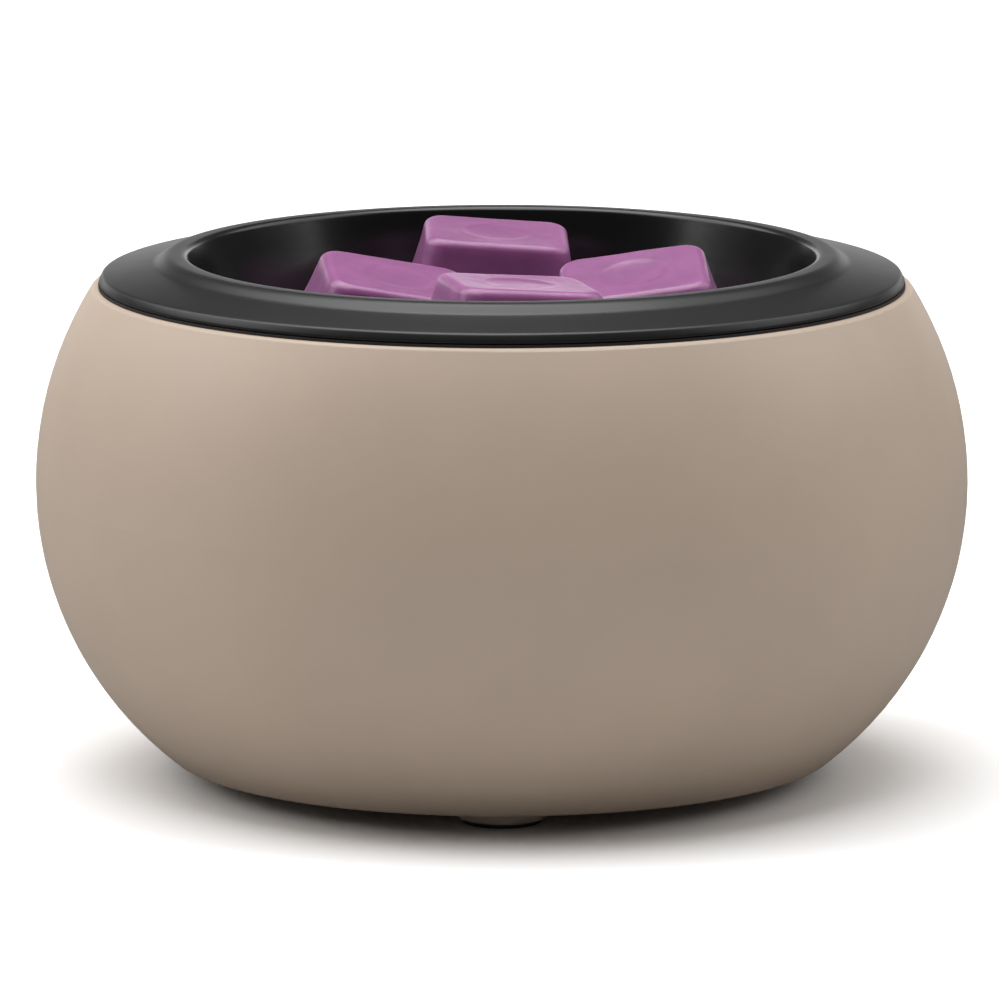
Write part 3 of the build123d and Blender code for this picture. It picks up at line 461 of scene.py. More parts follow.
def dish_finish(name):
    """The dish's black coating over turned metal, satin on the flange and glossier in the well, with painted
    shade darkening its black in the well.
    """
    dish = bpy.context.scene.warmer.dish
    made, tree, shader = new_material(name, Specular_IOR_Level=0.45)
    radius, _ = round_upright(tree)
    well = spread(tree, radius, dish.well_radius - dish.well_fade, dish.well_radius, 1.0, 0.0)
    roughness = spread(tree, well, 0.0, 1.0, dish.roughness, dish.well_roughness)
    effect = surface_grain(tree, dish.black, roughness, mottle=0.05, mottle_size=0.012, grain=dish.grain,
                           drift=0.05)
    # Painted shade: the coating's black is darkened inside the well
    shade_painted_black = tinted(tree, effect["Colour"], spread(tree, well, 0.0, 1.0, 1.0, dish.well_black))
    join(tree, shader, Base_Color=shade_painted_black, Roughness=effect["Roughness"])
    turned_metal = group_node(tree, "Turned metal", {"Ring Size": dish.ring}).outputs
    rings = maths(tree, "MULTIPLY", turned_metal["Height"], dish.ring_share)
    bump(tree, shader, maths(tree, "ADD", effect["Height"], rings), dish.relief)
    return made


def wax_finish(name):
    """Cast lilac wax, a little translucent, glossy where the mould was smooth."""
    melts = bpy.context.scene.warmer.melts
    return grained(name, melts.lilac, 0.33, mottle=0.10, mottle_size=0.006, grain=0.0026, relief=0.00004,
                   drift=0.18, Subsurface_Weight=0.6, Subsurface_Scale=0.005,
                   Subsurface_Radius=(1.0, 0.5, 0.9), Specular_IOR_Level=0.5)


def board_finish(name, green=(0.012, 0.105, 0.048), track_brightness=1.8, track_relief=0.00003):
    """Green lacquer over copper tracks."""
    made, tree, shader = new_material(name, Coat_Weight=0.3, Specular_IOR_Level=0.45)
    effect = surface_grain(tree, green, 0.38, mottle=0.05, mottle_size=0.004, grain=0.0004, drift=0.1)
    tracks = group_node(tree, "Copper tracks", {"Pitch": 0.0012}).outputs["Mask"]
    lacquer = tinted(tree, effect["Colour"], spread(tree, tracks, 0.0, 1.0, 1.0, track_brightness))
    join(tree, shader, Base_Color=lacquer, Roughness=effect["Roughness"])
    bump(tree, shader, tracks, track_relief)
    return made


def plain(base, roughness, **more):
    """The maker of a grained finish, called with its name when it is needed."""
    return lambda name: grained(name, base, roughness, **more)


def brushed(base, width, roughness):
    """The maker of a brushed metal, called with its name when it is needed."""
    return lambda name: metal(name, base, "Brushed", "Scratch Width", width, roughness)


def lathed(base, ring, roughness):
    """The maker of a turned metal, called with its name when it is needed."""
    return lambda name: metal(name, base, "Turned metal", "Ring Size", ring, roughness)


FINISH_MAKERS = {
    "ceramic_body": ceramic_finish,
    "dish_coating": dish_finish,
    "lilac_wax": wax_finish,
    "board_laminate": board_finish,
    "rubber_pad": plain((0.02, 0.02, 0.02), 0.75, grain=0.0004),
    "cover_plastic": plain((0.025, 0.025, 0.026), 0.55, grain=0.0004, relief=0.00004),
    "bezel_plastic": plain((0.025, 0.025, 0.026), 0.5, grain=0.0004, relief=0.00004),
    "gasket_silicone": plain((0.012, 0.012, 0.012), 0.65),
    "thermal_silicone": plain((0.30, 0.36, 0.45), 0.7),
    "heater_film": plain((0.62, 0.30, 0.05), 0.3, grain=0.002, relief=0.00005, Coat_Weight=0.4),
    "glass_sleeve": plain((0.80, 0.78, 0.72), 0.8),
    "wire_red": plain((0.42, 0.02, 0.02), 0.4),
    "wire_white": plain((0.72, 0.71, 0.68), 0.4),
    "wire_black": plain((0.02, 0.02, 0.02), 0.4),
    "wire_blue": plain((0.03, 0.10, 0.36), 0.4),
    "jack_plastic": plain((0.022, 0.022, 0.022), 0.32, relief=0.00001),
    "led_lens": plain((0.70, 0.82, 0.74), 0.15, relief=0.000004),
    "clear_acrylic": plain((0.88, 0.90, 0.90), 0.12, relief=0.000004),
    "plunger_plastic": plain((0.62, 0.60, 0.54), 0.45),
    "button_plastic": plain((0.035, 0.035, 0.036), 0.38, grain=0.0005, relief=0.00002),
    "chip_black": plain((0.018, 0.018, 0.018), 0.6, grain=0.0002),
    "screw_steel": brushed((0.58, 0.58, 0.57), 0.0002, 0.32),
    "plated_steel": brushed((0.62, 0.63, 0.64), 0.00025, 0.36),
    "post_brass": brushed((0.78, 0.59, 0.31), 0.00016, 0.28),
    "fuse_metal": brushed((0.66, 0.66, 0.65), 0.0002, 0.25),
    "lug_metal": brushed((0.70, 0.69, 0.66), 0.0002, 0.28),
    "pin_metal": brushed((0.72, 0.66, 0.48), 0.0001, 0.2),
    "capacitor_can": brushed((0.36, 0.38, 0.42), 0.0003, 0.3),
    "heat_aluminium": lathed((0.72, 0.73, 0.74), 0.0004, 0.34),
}


def finish_of(slot):
    """The finish of one of the record's slots. The frame's own plain material has the bare slot's name."""
    name = slot + "_finish"
    return bpy.data.materials.get(name) or FINISH_MAKERS[slot](name)


def dress(obj, slot):
    """Gives a piece the finish of a slot."""
    if slot not in FINISH_MAKERS:
        raise ValueError(f"no finish is made for the slot {slot}")
    obj.data.materials.clear()
    obj.data.materials.append(finish_of(slot))


def dress_nodes(names):
    """Gives CAD nodes the finishes of their own slots."""
    for name in names:
        dress(frame["nodes"][name], SLOT_OF[name])


def link_piece(name, mesh):
    """A new object for a mesh."""
    piece = bpy.data.objects.new(name, mesh)
    bpy.context.scene.collection.objects.link(piece)
    return piece


def finish_piece(name, bm, slot, body="base"):
    """Turns mesh work into a piece that rides on a body and has a slot's finish."""
    bm.normal_update()
    mesh = bpy.data.meshes.new(name)
    bm.to_mesh(mesh)
    bm.free()
    piece = link_piece(name, mesh)
    dress(piece, slot)
    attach(piece, body)
    return piece


def heading(turn):
    """The direction of an angle in a flat plane."""
    return Vector((math.cos(turn), math.sin(turn)))


def arc(middle, radius, start, end, steps):
    """Points along an arc in a flat plane, from one angle to another."""
    return [middle + radius * heading(start + (end - start) * step / steps) for step in range(steps + 1)]


def join_rings(bm, rings):
    """Joins rings of equal count into a closed skin with a face at each end."""
    rows = [[bm.verts.new(point) for point in ring] for ring in rings]
    for low, high in zip(rows, rows[1:]):
        for index in range(len(low)):
            after = (index + 1) % len(low)
            bm.faces.new((low[index], low[after], high[after], high[index]))
    bm.faces.new(list(reversed(rows[0])))
    bm.faces.new(rows[-1])


def strip(bm, path, side, width, thickness):
    """A flat strip with cut corners along a path. Its width lies along the side direction."""
    rings = []
    half, rise = width / 2, thickness / 2
    cut = rise / 2
    outline = [(half - cut, rise), (cut - half, rise), (-half, rise - cut), (-half, cut - rise),
               (cut - half, -rise), (half - cut, -rise), (half, cut - rise), (half, rise - cut)]
    for index, point in enumerate(path):
        before, after = path[max(index - 1, 0)], path[min(index + 1, len(path) - 1)]
        up = (after - before).cross(side).normalized()
        rings.append([point + side * across + up * above for across, above in outline])
    join_rings(bm, rings)


def turned(bm, centre, axis, outline, steps):
    """A turned body: the outline gives a radius and a rise along the axis at each ring."""
    first = axis.orthogonal().normalized()
    second = axis.cross(first)
    turns = [heading(math.tau * step / steps) for step in range(steps)]
    join_rings(bm, [[centre + axis * rise + radius * (first * turn.x + second * turn.y) for turn in turns]
                    for radius, rise in outline])


def block(bm, centre, size, chamfer):
    """A block with softened edges."""
    place = Matrix.Translation(centre) @ Matrix.Diagonal((*size, 1.0))
    made = bmesh.ops.create_cube(bm, size=1.0, matrix=place)
    edges = {edge for vert in made["verts"] for edge in vert.link_edges}
    bmesh.ops.bevel(bm, geom=list(edges), offset=chamfer, segments=2, profile=0.5, affect="EDGES")


def middle_of(name):
    """The middle of a node's box."""
    low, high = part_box(name)
    return (Vector(low) + Vector(high)) / 2


# The steps of the power mark's ring, and the points of its bar as shares of the ring's radius
MARK_STEPS = 36
MARK_BAR_SHARES = (0.15, 0.45, 0.75, 1.1)


def power_mark(back):
    """The printed ring and bar on the button, laid on its dished face."""
    button = frame["nodes"]["power_button"]
    centre = middle_of("power_button")
    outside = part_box("power_button")[1][1] + back.mark

    def on_face(across, above):
        start = Vector((centre.x + across, outside, centre.z + above))
        hit, place, _, _ = button.ray_cast(start, Vector((0, -1, 0)))
        if not hit:
            raise ValueError("the power mark misses the button's face")
        return place

    around = math.tau - 2 * back.mark_gap
    turns = [QUARTER + back.mark_gap + around * step / MARK_STEPS for step in range(MARK_STEPS + 1)]
    ring = [on_face(*(back.mark * heading(turn))) for turn in turns]
    bar = [on_face(0, back.mark * part) for part in MARK_BAR_SHARES]
    bm = bmesh.new()
    for path in (ring, bar):
        strip(bm, path, Vector((0, 1, 0)), back.mark_proud * 2, back.mark_line)
    finish_piece("power_mark", bm, "plunger_plastic", "button")


# The socket's bore radius as a share of its height, the spring's seat as a share of that radius, and the
# spring's steps
BORE_SHARE = 0.355
SPRING_SEAT_SHARE = 0.965
SPRING_STEPS = 12


def socket_spring(back):
    """The bent side contact in the power socket's bore."""
    low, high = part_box("jack_pin")
    jack_low, jack_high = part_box("dc_jack")
    centre = middle_of("jack_pin")
    seat = centre.z - (jack_high[2] - jack_low[2]) * BORE_SHARE * SPRING_SEAT_SHARE
    path = []
    for step in range(SPRING_STEPS + 1):
        part = step / SPRING_STEPS
        inward = back.spring_bulge * math.sin(math.pi * part) ** 2
        path.append(Vector((centre.x, high[1] + (low[1] - high[1]) * part, seat + inward)))
    bm = bmesh.new()
    strip(bm, path, Vector((1, 0, 0)), back.spring_width, back.spring_thickness)
    finish_piece("socket_spring", bm, "pin_metal")


# A chip leg's path, as shares of its reach outwards and of the way to the board
LEG_SHARES = ((-0.2, 0.0), (0.2, 0.0), (0.36, 0.12), (0.5, 0.75), (0.66, 0.9), (1.0, 0.92))
LEGS_A_SIDE = 4


def chip_legs(board):
    """Bent legs down each side of the timer chip."""
    low, high = (Vector(corner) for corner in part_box("timer_chip"))
    middle = (low + high) / 2
    bm = bmesh.new()
    for side, edge in ((-1, low.x), (1, high.x)):
        for index in range(LEGS_A_SIDE):
            rise = middle.z + board.leg_pitch * (index - (LEGS_A_SIDE - 1) / 2)
            path = [Vector((edge + side * board.leg_reach * out, middle.y + (high.y - middle.y) * down, rise))
                    for out, down in LEG_SHARES]
            strip(bm, path, Vector((0, 0, 1)), board.leg_width, board.leg_thickness)
    finish_piece("chip_legs", bm, "lug_metal")


# Where the resistors stand, as shares of the board's half width and half height
RESISTOR_SHARES = ((-0.63, 0.30), (-0.63, 0.64), (-0.82, 0.72), (0.63, 0.30), (0.63, 0.64), (0.82, 0.72))
# A resistor's body and its tinned ends, as shares of its length, thickness and width
RESISTOR_BODY_SHARES = (0.7, 1.0, 1.0)
RESISTOR_END_SHARES = (0.2, 1.04, 1.02)
# The middle of an end as a share of the length, and the edges' chamfer as a share of the thickness
RESISTOR_END_PLACE_SHARE = 0.42
RESISTOR_CHAMFER_SHARE = 0.125


def resistors(board):
    """Flat resistors with tinned ends on the board's inner face."""
    low, high = (Vector(corner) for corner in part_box("control_board"))
    middle, half = (low + high) / 2, (high - low) / 2
    size = Vector(board.resistor)
    chamfer = size.y * RESISTOR_CHAMFER_SHARE
    bodies, caps = bmesh.new(), bmesh.new()
    for across, above in RESISTOR_SHARES:
        place = Vector((middle.x + half.x * across, low.y - size.y / 2, middle.z + half.z * above))
        block(bodies, place, size * Vector(RESISTOR_BODY_SHARES), chamfer)
        for end in (-1, 1):
            cap = place + Vector((end * size.x * RESISTOR_END_PLACE_SHARE, 0, 0))
            block(caps, cap, size * Vector(RESISTOR_END_SHARES), chamfer)
    finish_piece("resistor_bodies", bodies, "chip_black")
    finish_piece("resistor_ends", caps, "lug_metal")


# Where the connector's pins stand, as shares of its width, and how far the capacitor's stand from its
# middle, as a share of a joint's radius
PIN_SHARES = (0.14, 0.38, 0.62, 0.86)
CAPACITOR_PIN_SHARE = 1.8
# A solder joint's outline, as shares of its radius and height, and its sides
JOINT_SHARES = ((1.0, 0.0), (0.86, 0.14), (0.58, 0.4), (0.42, 0.75), (0.36, 1.0))
JOINT_SIDES = 14


def solder_joints(board):
    """Joints on the board's outer face, over the connector's and the capacitor's pins."""
    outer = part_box("control_board")[1][1]
    low, high = (Vector(corner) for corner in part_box("board_connector"))
    capacitor = middle_of("capacitor")
    pins = [(low.x + (high.x - low.x) * part, high.z - board.joint / 2) for part in PIN_SHARES]
    pins += [(capacitor.x + side * board.joint * CAPACITOR_PIN_SHARE, capacitor.z) for side in (-1, 1)]
    outline = [(board.joint * wide, board.joint_height * rise) for wide, rise in JOINT_SHARES]
    bm = bmesh.new()
    for across, above in pins:
        turned(bm, Vector((across, outer, above)), Vector((0, 1, 0)), outline, JOINT_SIDES)
    finish_piece("solder_joints", bm, "lug_metal")


# The film's thickness, its turns over the can's end and its bend, as shares of the can's radius, where it
# runs along the can, as shares of the can's length, and its sides
FILM_SHARE = 0.016
FILM_END_SHARES = (0.80, 0.90, 0.97)
FILM_BEND_SHARE = 0.06
FILM_RUN_SHARES = (0.4, 0.97, 0.98)
FILM_SIDES = 32


def capacitor_sleeve():
    """The printed film round the capacitor's can, shrunk over its end."""
    low, high = (Vector(corner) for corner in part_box("capacitor"))
    centre = middle_of("capacitor")
    radius, reach = (high.x - low.x) / 2, high.y - low.y
    film = radius * FILM_SHARE
    full = radius + film
    start, flat, turn = (radius * part for part in FILM_END_SHARES)
    halfway, last, end = (reach * part for part in FILM_RUN_SHARES)
    outline = [(start, -film), (flat, -film), (turn, 0.0), (full, radius * FILM_BEND_SHARE),
               (full, halfway), (full, last), (radius, end)]
    bm = bmesh.new()
    turned(bm, Vector((centre.x, low.y, centre.z)), Vector((0, 1, 0)), outline, FILM_SIDES)
    bm.faces.ensure_lookup_table()
    ends = [face for face in bm.faces if len(face.verts) == FILM_SIDES]
    bmesh.ops.delete(bm, geom=ends, context="FACES_ONLY")
    bmesh.ops.solidify(bm, geom=bm.faces[:], thickness=film)
    finish_piece("capacitor_sleeve", bm, "chip_black")


def melt_frame(node):
    """A melt's own axes, read from the frame: the largest flat face is its base."""
    mesh = node.data
    faces = {}
    for face in mesh.polygons:
        faces.setdefault(tuple(round(part, 2) for part in face.normal), []).append(face)
    base = max(faces.values(), key=lambda group: sum(face.area for face in group))
    area = sum(face.area for face in base)
    centre = sum((face.center * face.area for face in base), Vector()) / area
    up = -sum((face.normal * face.area for face in base), Vector()).normalized()
    uses = {}
    for face in base:
        for edge in face.edge_keys:
            uses[edge] = uses.get(edge, 0) + 1
    sides = [mesh.vertices[b].co - mesh.vertices[a].co for (a, b), count in uses.items() if count == 1]
    along = max(sides, key=lambda side: side.length)
    along = (along - up * along.dot(up)).normalized()
    across = up.cross(along)
    axes = Matrix((along, across, up)).transposed().to_4x4()
    return Matrix.Translation(centre) @ axes


def rounded_ring(half_length, half_width, corner, corner_steps=8, side_steps=10):
    """Points round a rounded rectangle, corners and straight sides alike."""
    points = []
    for quadrant in range(4):
        side_x = 1 if quadrant in (0, 3) else -1
        side_y = 1 if quadrant in (0, 1) else -1
        middle = Vector((side_x * (half_length - corner), side_y * (half_width - corner)))
        points += arc(middle, corner, QUARTER * quadrant, QUARTER * (quadrant + 1), corner_steps)
    ring = []
    for index, point in enumerate(points):
        ring.append(point)
        following = points[(index + 1) % len(points)]
        if index % (corner_steps + 1) == corner_steps:
            ring += [point.lerp(following, step / side_steps) for step in range(1, side_steps)]
    return ring


def quarter_round(radius, steps):
    """How far in and how far up each step of a rounded edge lies from its corner."""
    turns = [QUARTER * step / steps for step in range(steps + 1)]
    return [(radius * (1 - math.cos(turn)), radius * (1 - math.sin(turn))) for turn in turns]


# A melt's rings under the base, as shares of its half width, and over its sides, in steps
BASE_RING_SHARES = (0.8, 0.5, 0.2)
FOOT_STEPS, SIDE_STEPS, EDGE_STEPS = 4, 10, 7
# The rings on top, as shares of the way in to the press mark, and of the mark's radius from there on
TOP_RING_SHARES = (0.15, 0.35, 0.55, 0.75, 0.9, 1.0)
MARK_REACH_SHARE = 1.35
MARK_RING_SHARES = (1.22, 1.12, 1.04, 0.97, 0.9, 0.8, 0.68, 0.52, 0.34, 0.16)


def melt_rings(base, height, melts):
    """A melt's rings, from the base's middle, round its edges and up to the press mark."""
    half_top = Vector((melts.top_length / 2, melts.top_width / 2))

    def ring(rise, inset=0.0, hollow=0.0):
        part = rise / height
        half = base.lerp(half_top, part)
        corner = melts.corner + (melts.top_corner - melts.corner) * part
        flat = rounded_ring(half.x - inset - hollow, half.y - inset - hollow, max(corner - inset, corner / 3))
        return [Vector((point.x, point.y, rise)) for point in flat]

    rings = [ring(0.0, base.y * part) for part in BASE_RING_SHARES]
    rings += [ring(rise, inset) for inset, rise in reversed(quarter_round(melts.foot, FOOT_STEPS))]
    side_low, side_high = melts.foot, height - melts.edge
    for step in range(1, SIDE_STEPS):
        part = step / SIDE_STEPS
        hollow = melts.sag * math.sin(math.pi * part)
        rings.append(ring(side_low + (side_high - side_low) * part, 0.0, hollow))
    rings += [ring(height - drop, inset) for inset, drop in quarter_round(melts.edge, EDGE_STEPS)]
    edge, middle = rings[-1], Vector((0, 0, height))
    outwards = [(point - middle).normalized() for point in edge]
    reach = melts.dimple * MARK_REACH_SHARE
    for part in TOP_RING_SHARES:
        rings.append([point.lerp(middle + reach * out, part) for point, out in zip(edge, outwards)])
    for part in MARK_RING_SHARES:
        rings.append([middle + melts.dimple * part * out for out in outwards])
    return rings


# How steep the press mark's side is, and its raised rim's place and width as shares of its radius
MARK_STEEPNESS = 6
RIM_PLACE_SHARE = 1.06
RIM_WIDTH_SHARE = 0.05


def press_mark(radius, melts):
    """The change of height at a distance from the middle of a melt's top."""
    part = radius / melts.dimple
    if part < 1.0:
        return -melts.dimple_depth * (0.5 + 0.5 * math.cos(math.pi * part ** MARK_STEEPNESS))
    return melts.dimple_rim * math.exp(-((part - RIM_PLACE_SHARE) / RIM_WIDTH_SHARE) ** 2)


# The top sags inside this share of the base's half size
SAG_REACH_SHARE = 0.7
# How far one melt's waves are moved from the last one's, the ripples' height as a share of the waves', and
# how far the whole surface is drawn in as a share of that height
WAVE_STEP = Vector((7.3, 3.1, 5.7))
RIPPLE_SHARE = 0.5
SHRINK_SHARE = 0.6


def sag_share(part):
    """The sag's share at a place across the top, from one in the middle to nothing at its reach."""
    return 1 - min(1, abs(part) / SAG_REACH_SHARE) ** 2


def cast_melt(name, seed, melts):
    """One melt in its own axes: a rounded block with sunken faces, a press mark and casting waves."""
    node = frame["nodes"][name]
    place = melt_frame(node)
    inverse = place.inverted()
    own = [inverse @ vertex.co for vertex in node.data.vertices]
    base = Vector((max(abs(point.x) for point in own), max(abs(point.y) for point in own)))
    height = max(point.z for point in own)
    bm = bmesh.new()
    join_rings(bm, melt_rings(base, height, melts))
    bm.normal_update()
    offset = WAVE_STEP * seed
    for vertex in bm.verts:
        if vertex.co.z > height - melts.edge / 4:
            sag = melts.sag * sag_share(vertex.co.x / base.x) * sag_share(vertex.co.y / base.y)
            vertex.co.z += press_mark(math.hypot(vertex.co.x, vertex.co.y), melts) - sag
        if vertex.co.z > melts.foot:
            wave = noise.noise(vertex.co / melts.wave + offset)
            wave += RIPPLE_SHARE * noise.noise(vertex.co / melts.ripple + offset)
            vertex.co += vertex.normal * melts.unevenness * (wave - SHRINK_SHARE)
    mesh = bpy.data.meshes.new(name + "_cast")
    bm.to_mesh(mesh)
    bm.free()
    mesh.shade_smooth()
    mesh.transform(place)
    piece = link_piece(name + "_cast", mesh)
    dress(piece, "lilac_wax")
    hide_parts(name)
    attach(piece, name)


def rounded_corner(before, corner, after, radius, steps=6):
    """Points along the arc that rounds a corner of the section."""
    back, ahead = (before - corner).normalized(), (after - corner).normalized()
    half = back.angle(ahead) / 2
    middle = corner + (back + ahead).normalized() * radius / math.sin(half)
    reach = radius / math.tan(half)
    start, end = corner + back * reach - middle, corner + ahead * reach - middle
    first = math.atan2(start.y, start.x)
    swing = (math.atan2(end.y, end.x) - first + math.pi) % math.tau - math.pi
    return arc(middle, radius, first, first + swing, steps)


# The dish's steps along its lip's arcs, along the well's corner, across the flange and round the upright
LIP_STEPS, WELL_STEPS, FLANGE_STEPS, SPIN_STEPS = 10, 12, 12, 240
# Rings on the floor and close under the flange, as shares of the floor's radius and the wall's height
FLOOR_RING_SHARES = (0.02, 0.5)
WALL_RING_SHARE = 0.05


def dish_section(cut):
    """The dish's section: the well, the lip, the flange and its edge, and back underneath."""
    low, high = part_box("wax_dish")
    under, top, rim = low[2], high[2], high[0]
    floor, flange_under = top - cut.depth, top - cut.rise
    slant = math.tan(cut.lean)

    lip = arc(Vector((cut.roll_place, top - cut.roll)), cut.roll, math.pi - cut.lean, QUARTER, LIP_STEPS)
    corner_end = cut.corner * heading(-cut.lean)
    flat = lip[0].x - (lip[0].y - floor - cut.corner - corner_end.y) * slant - corner_end.x
    middle = Vector((flat, floor + cut.corner))
    inner = arc(middle, cut.corner, -QUARTER, -cut.lean, WELL_STEPS)
    crest = Vector((cut.roll_place + cut.crest, top - cut.round))
    outer_lip = arc(crest, cut.round, QUARTER, QUARTER - cut.fall, LIP_STEPS)

    slope_end = outer_lip[-1] + cut.fall_run * Vector((1, -math.tan(cut.fall)))
    sweep = arc(slope_end + cut.sweep * heading(QUARTER - cut.fall), cut.sweep,
                3 * QUARTER - cut.fall, 3 * QUARTER - cut.flange_fall, LIP_STEPS)
    shoulder = Vector((rim - cut.edge_setback, flange_under + cut.edge_height))
    foot = Vector((rim, flange_under))
    band = shoulder - sweep[-1]
    bend = math.atan2(-band.y, band.x) - cut.flange_fall
    control = sweep[-1] + band.length / 2 / math.cos(bend) * heading(-cut.flange_fall)
    edge = rounded_corner(control, shoulder, foot, cut.edge_round)
    flange = []
    for step in range(1, FLANGE_STEPS):
        part = step / FLANGE_STEPS
        flange.append(sweep[-1].lerp(control, part).lerp(control.lerp(edge[0], part), part))

    outer = arc(middle, cut.corner + cut.wall, -cut.lean, -QUARTER, WELL_STEPS)
    outer_top = outer[0] + (flange_under - outer[0].y) * Vector((slant, 1))
    foot_edge = rounded_corner(shoulder, foot, outer_top, cut.foot_round)
    beside = outer_top + Vector((cut.foot_round / 2, 0))
    centre, halfway = (flat * part for part in FLOOR_RING_SHARES)
    return [Vector((centre, floor)), Vector((halfway, floor)), *inner, *lip, *outer_lip, *sweep, *flange,
            *edge, *foot_edge, beside, outer_top, outer_top.lerp(outer[0], WALL_RING_SHARE), *outer,
            Vector((halfway, under)), Vector((centre, under))]


def spin_dish(cut):
    """The dish, spun from its section."""
    bm = bmesh.new()
    turned(bm, Vector(), Vector((0, 0, 1)), reversed(dish_section(cut)), SPIN_STEPS)
    piece = finish_piece("wax_dish_spun", bm, "dish_coating", "dish")
    piece.data.shade_smooth()
    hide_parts("wax_dish")


class WARMER_OT_bowl(bpy.types.Operator):
    """Glaze the bowl"""
    bl_idname = "warmer.bowl"
    bl_label = "Bowl"

    def execute(self, context):
        dress_nodes(["body_shell"])
        return {"FINISHED"}


class WARMER_OT_dish(bpy.types.Operator):
    """Spin and coat the dish and finish its gasket"""
    bl_idname = "warmer.dish"
    bl_label = "Dish and gasket"

    def execute(self, context):
        dress_nodes(["wax_dish", "rim_gasket"])
        spin_dish(context.scene.warmer.section)
        return {"FINISHED"}


class WARMER_OT_melts(bpy.types.Operator):
    """Cast the wax melts"""
    bl_idname = "warmer.melts"
    bl_label = "Wax melts"

    def execute(self, context):
        dress_nodes(MELTS)
        for seed, name in enumerate(MELTS):
            cast_melt(name, seed, context.scene.warmer.melts)
        return {"FINISHED"}


class WARMER_OT_underside(bpy.types.Operator):
    """Finish the base cover, its screws and the foot pads"""
    bl_idname = "warmer.underside"
    bl_label = "Underside"

    def execute(self, context):
        dress_nodes(UNDERSIDE)
        return {"FINISHED"}


class WARMER_OT_back(bpy.types.Operator):
    """Finish the back panel and print the button's mark"""
    bl_idname = "warmer.back"
    bl_label = "Back panel"

    def execute(self, context):
        back = context.scene.warmer.back
        dress_nodes(BACK)
        power_mark(back)
        socket_spring(back)
        return {"FINISHED"}


class WARMER_OT_board(bpy.types.Operator):
    """Finish the control board and solder its small parts on"""
    bl_idname = "warmer.board"
    bl_label = "Control board"

    def execute(self, context):
        board = context.scene.warmer.board
        dress_nodes(BOARD)
        chip_legs(board)
        resistors(board)
        solder_joints(board)
        capacitor_sleeve()
        return {"FINISHED"}


class WARMER_OT_heater(bpy.types.Operator):
    """Finish the heater, what carries it and its wires"""
    bl_idname = "warmer.heater"
    bl_label = "Heater"

    def execute(self, context):
        dress_nodes(HEATER)
        return {"FINISHED"}


# Each soft box's place and its width and height, in metres, under the setting that holds its brightness
SOFT_BOXES = {
    "top": ((-0.15, 0.15, 2.3), (2.4, 2.4)),
    "left": ((-2.1, 0.45, 1.75), (2.6, 1.9)),
    "right": ((2.1, 0.45, 1.75), (2.6, 1.9)),
    "back": ((0, 2.6, 0.27), (3.2, 0.5)),
}
# From the middle to the floor's edge, and the nearest and furthest that the camera sees, in metres
FLOOR_REACH = 8.0
NEAREST, FURTHEST = 0.05, 30.0
# The width of the camera's picture plane, in millimetres
PICTURE_WIDTH = 36.0


def lay_floor(studio):
    """A plain floor, with a colour for the camera, one for gloss and one for the light it throws back."""
    bm = bmesh.new()
    bmesh.ops.create_grid(bm, x_segments=1, y_segments=1, size=FLOOR_REACH)
    mesh = bpy.data.meshes.new("studio_floor")
    bm.to_mesh(mesh)
    bm.free()
    floor = link_piece("studio_floor", mesh)
    made, tree, shader = new_material("studio_floor", Roughness=0.9, Specular_IOR_Level=0.1)
    path = add(tree, "ShaderNodeLightPath").outputs
    seen = rgba(studio.bounce)
    for ray, seen_as in (("Is Glossy Ray", studio.mirrored), ("Is Camera Ray", studio.floor)):
        inputs = {"Fac": path[ray], "Color1": seen, "Color2": rgba(seen_as)}
        seen = add(tree, "ShaderNodeMixRGB", inputs).outputs["Color"]
    join(tree, shader, Base_Color=seen)
    mesh.materials.append(made)


def soft_box(name, place, aim, size, brightness, scene):
    """A square light of a steady brightness, turned to what it lights."""
    lamp = bpy.data.lights.new(name, "AREA")
    lamp.shape = "RECTANGLE"
    lamp.size, lamp.size_y = size
    lamp.energy = brightness * math.pi * size[0] * size[1]
    box = bpy.data.objects.new(name, lamp)
    box.location = place
    box.rotation_mode = "QUATERNION"
    box.rotation_quaternion = (Vector(aim) - Vector(place)).to_track_quat("-Z", "Y")
    box.visible_camera = False
    scene.collection.objects.link(box)


def set_air(studio, scene):
    """Faint even light from all round, and plain white for the camera."""
    world = bpy.data.worlds.new("studio_air")
    scene.world = world
    world.use_nodes = True
    tree = world.node_tree
    tree.nodes.clear()
    seen = add(tree, "ShaderNodeLightPath").outputs["Is Camera Ray"]
    strength = spread(tree, seen, 0.0, 1.0, studio.ambient, 1.0)
    air = add(tree, "ShaderNodeBackground", {"Color": (1.0, 1.0, 1.0, 1.0), "Strength": strength})
    add(tree, "ShaderNodeOutputWorld", {"Surface": air.outputs["Background"]})


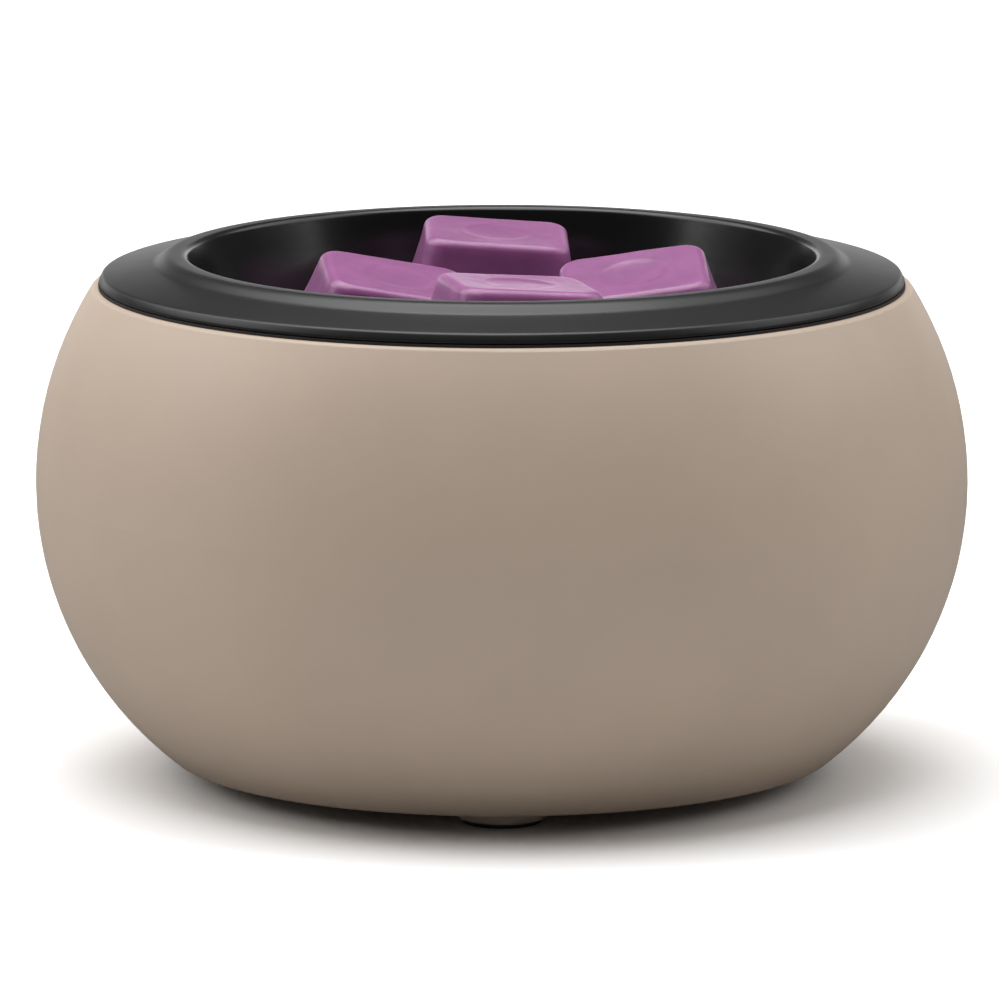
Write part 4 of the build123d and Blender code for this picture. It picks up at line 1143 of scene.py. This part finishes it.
def set_camera(studio, scene):
    """The camera, in front of the warmer and a little above it."""
    lens = bpy.data.cameras.new("studio_camera")
    lens.lens = studio.lens
    lens.sensor_width = PICTURE_WIDTH
    lens.clip_start, lens.clip_end = NEAREST, FURTHEST
    camera = bpy.data.objects.new("studio_camera", lens)
    away = Vector((0, -math.cos(studio.elevation), math.sin(studio.elevation)))
    camera.location = Vector((-studio.aim_side, 0, studio.aim_height)) + away * studio.distance
    camera.rotation_mode = "QUATERNION"
    camera.rotation_quaternion = (-away).to_track_quat("-Z", "Y")
    scene.collection.objects.link(camera)
    scene.camera = camera
    scene.view_settings.view_transform = "Standard"


class WARMER_OT_studio(bpy.types.Operator):
    """Lay the floor and set the lights and the camera"""
    bl_idname = "warmer.studio"
    bl_label = "Studio"

    def execute(self, context):
        scene = context.scene
        studio = scene.warmer.studio
        lay_floor(studio)
        for side, (place, size) in SOFT_BOXES.items():
            soft_box(side + "_light", place, (0, 0, studio.aim_height), size, getattr(studio, side), scene)
        set_air(studio, scene)
        set_camera(studio, scene)
        return {"FINISHED"}


OPERATORS = (WARMER_OT_bowl, WARMER_OT_dish, WARMER_OT_melts, WARMER_OT_underside, WARMER_OT_back,
             WARMER_OT_board, WARMER_OT_heater, WARMER_OT_studio)


class WARMER_PT_panel(bpy.types.Panel):
    """The warmer's pieces and settings."""
    bl_idname = "WARMER_PT_panel"
    bl_label = "Wax melt warmer"
    bl_space_type = "VIEW_3D"
    bl_region_type = "UI"
    bl_category = "Warmer"

    def draw(self, context):
        for operator in OPERATORS:
            self.layout.operator(operator.bl_idname)
        for group in WarmerSettings.__annotations__:
            settings = getattr(context.scene.warmer, group)
            box = self.layout.box()
            box.label(text=WarmerSettings.bl_rna.properties[group].name)
            for name in settings.__annotations__:
                box.prop(settings, name)


CLASSES = (WarmerBowlSettings, WarmerDishSettings, WarmerSectionSettings, WarmerMeltSettings,
           WarmerBackSettings, WarmerBoardSettings, WarmerStudioSettings, WarmerSettings,
           *OPERATORS, WARMER_PT_panel)


def register():
    """Adds the settings, the operators and the panel."""
    for each in CLASSES:
        bpy.utils.register_class(each)
    bpy.types.Scene.warmer = group_of(WarmerSettings, "Wax melt warmer")


def unregister():
    """Takes them away again."""
    del bpy.types.Scene.warmer
    for each in reversed(CLASSES):
        bpy.utils.unregister_class(each)


def main():
    """Makes the warmer's looks, in order."""
    register()
    for operator in OPERATORS:
        group, name = operator.bl_idname.split(".")
        getattr(getattr(bpy.ops, group), name)()


if __name__ == "__main__":
    main()
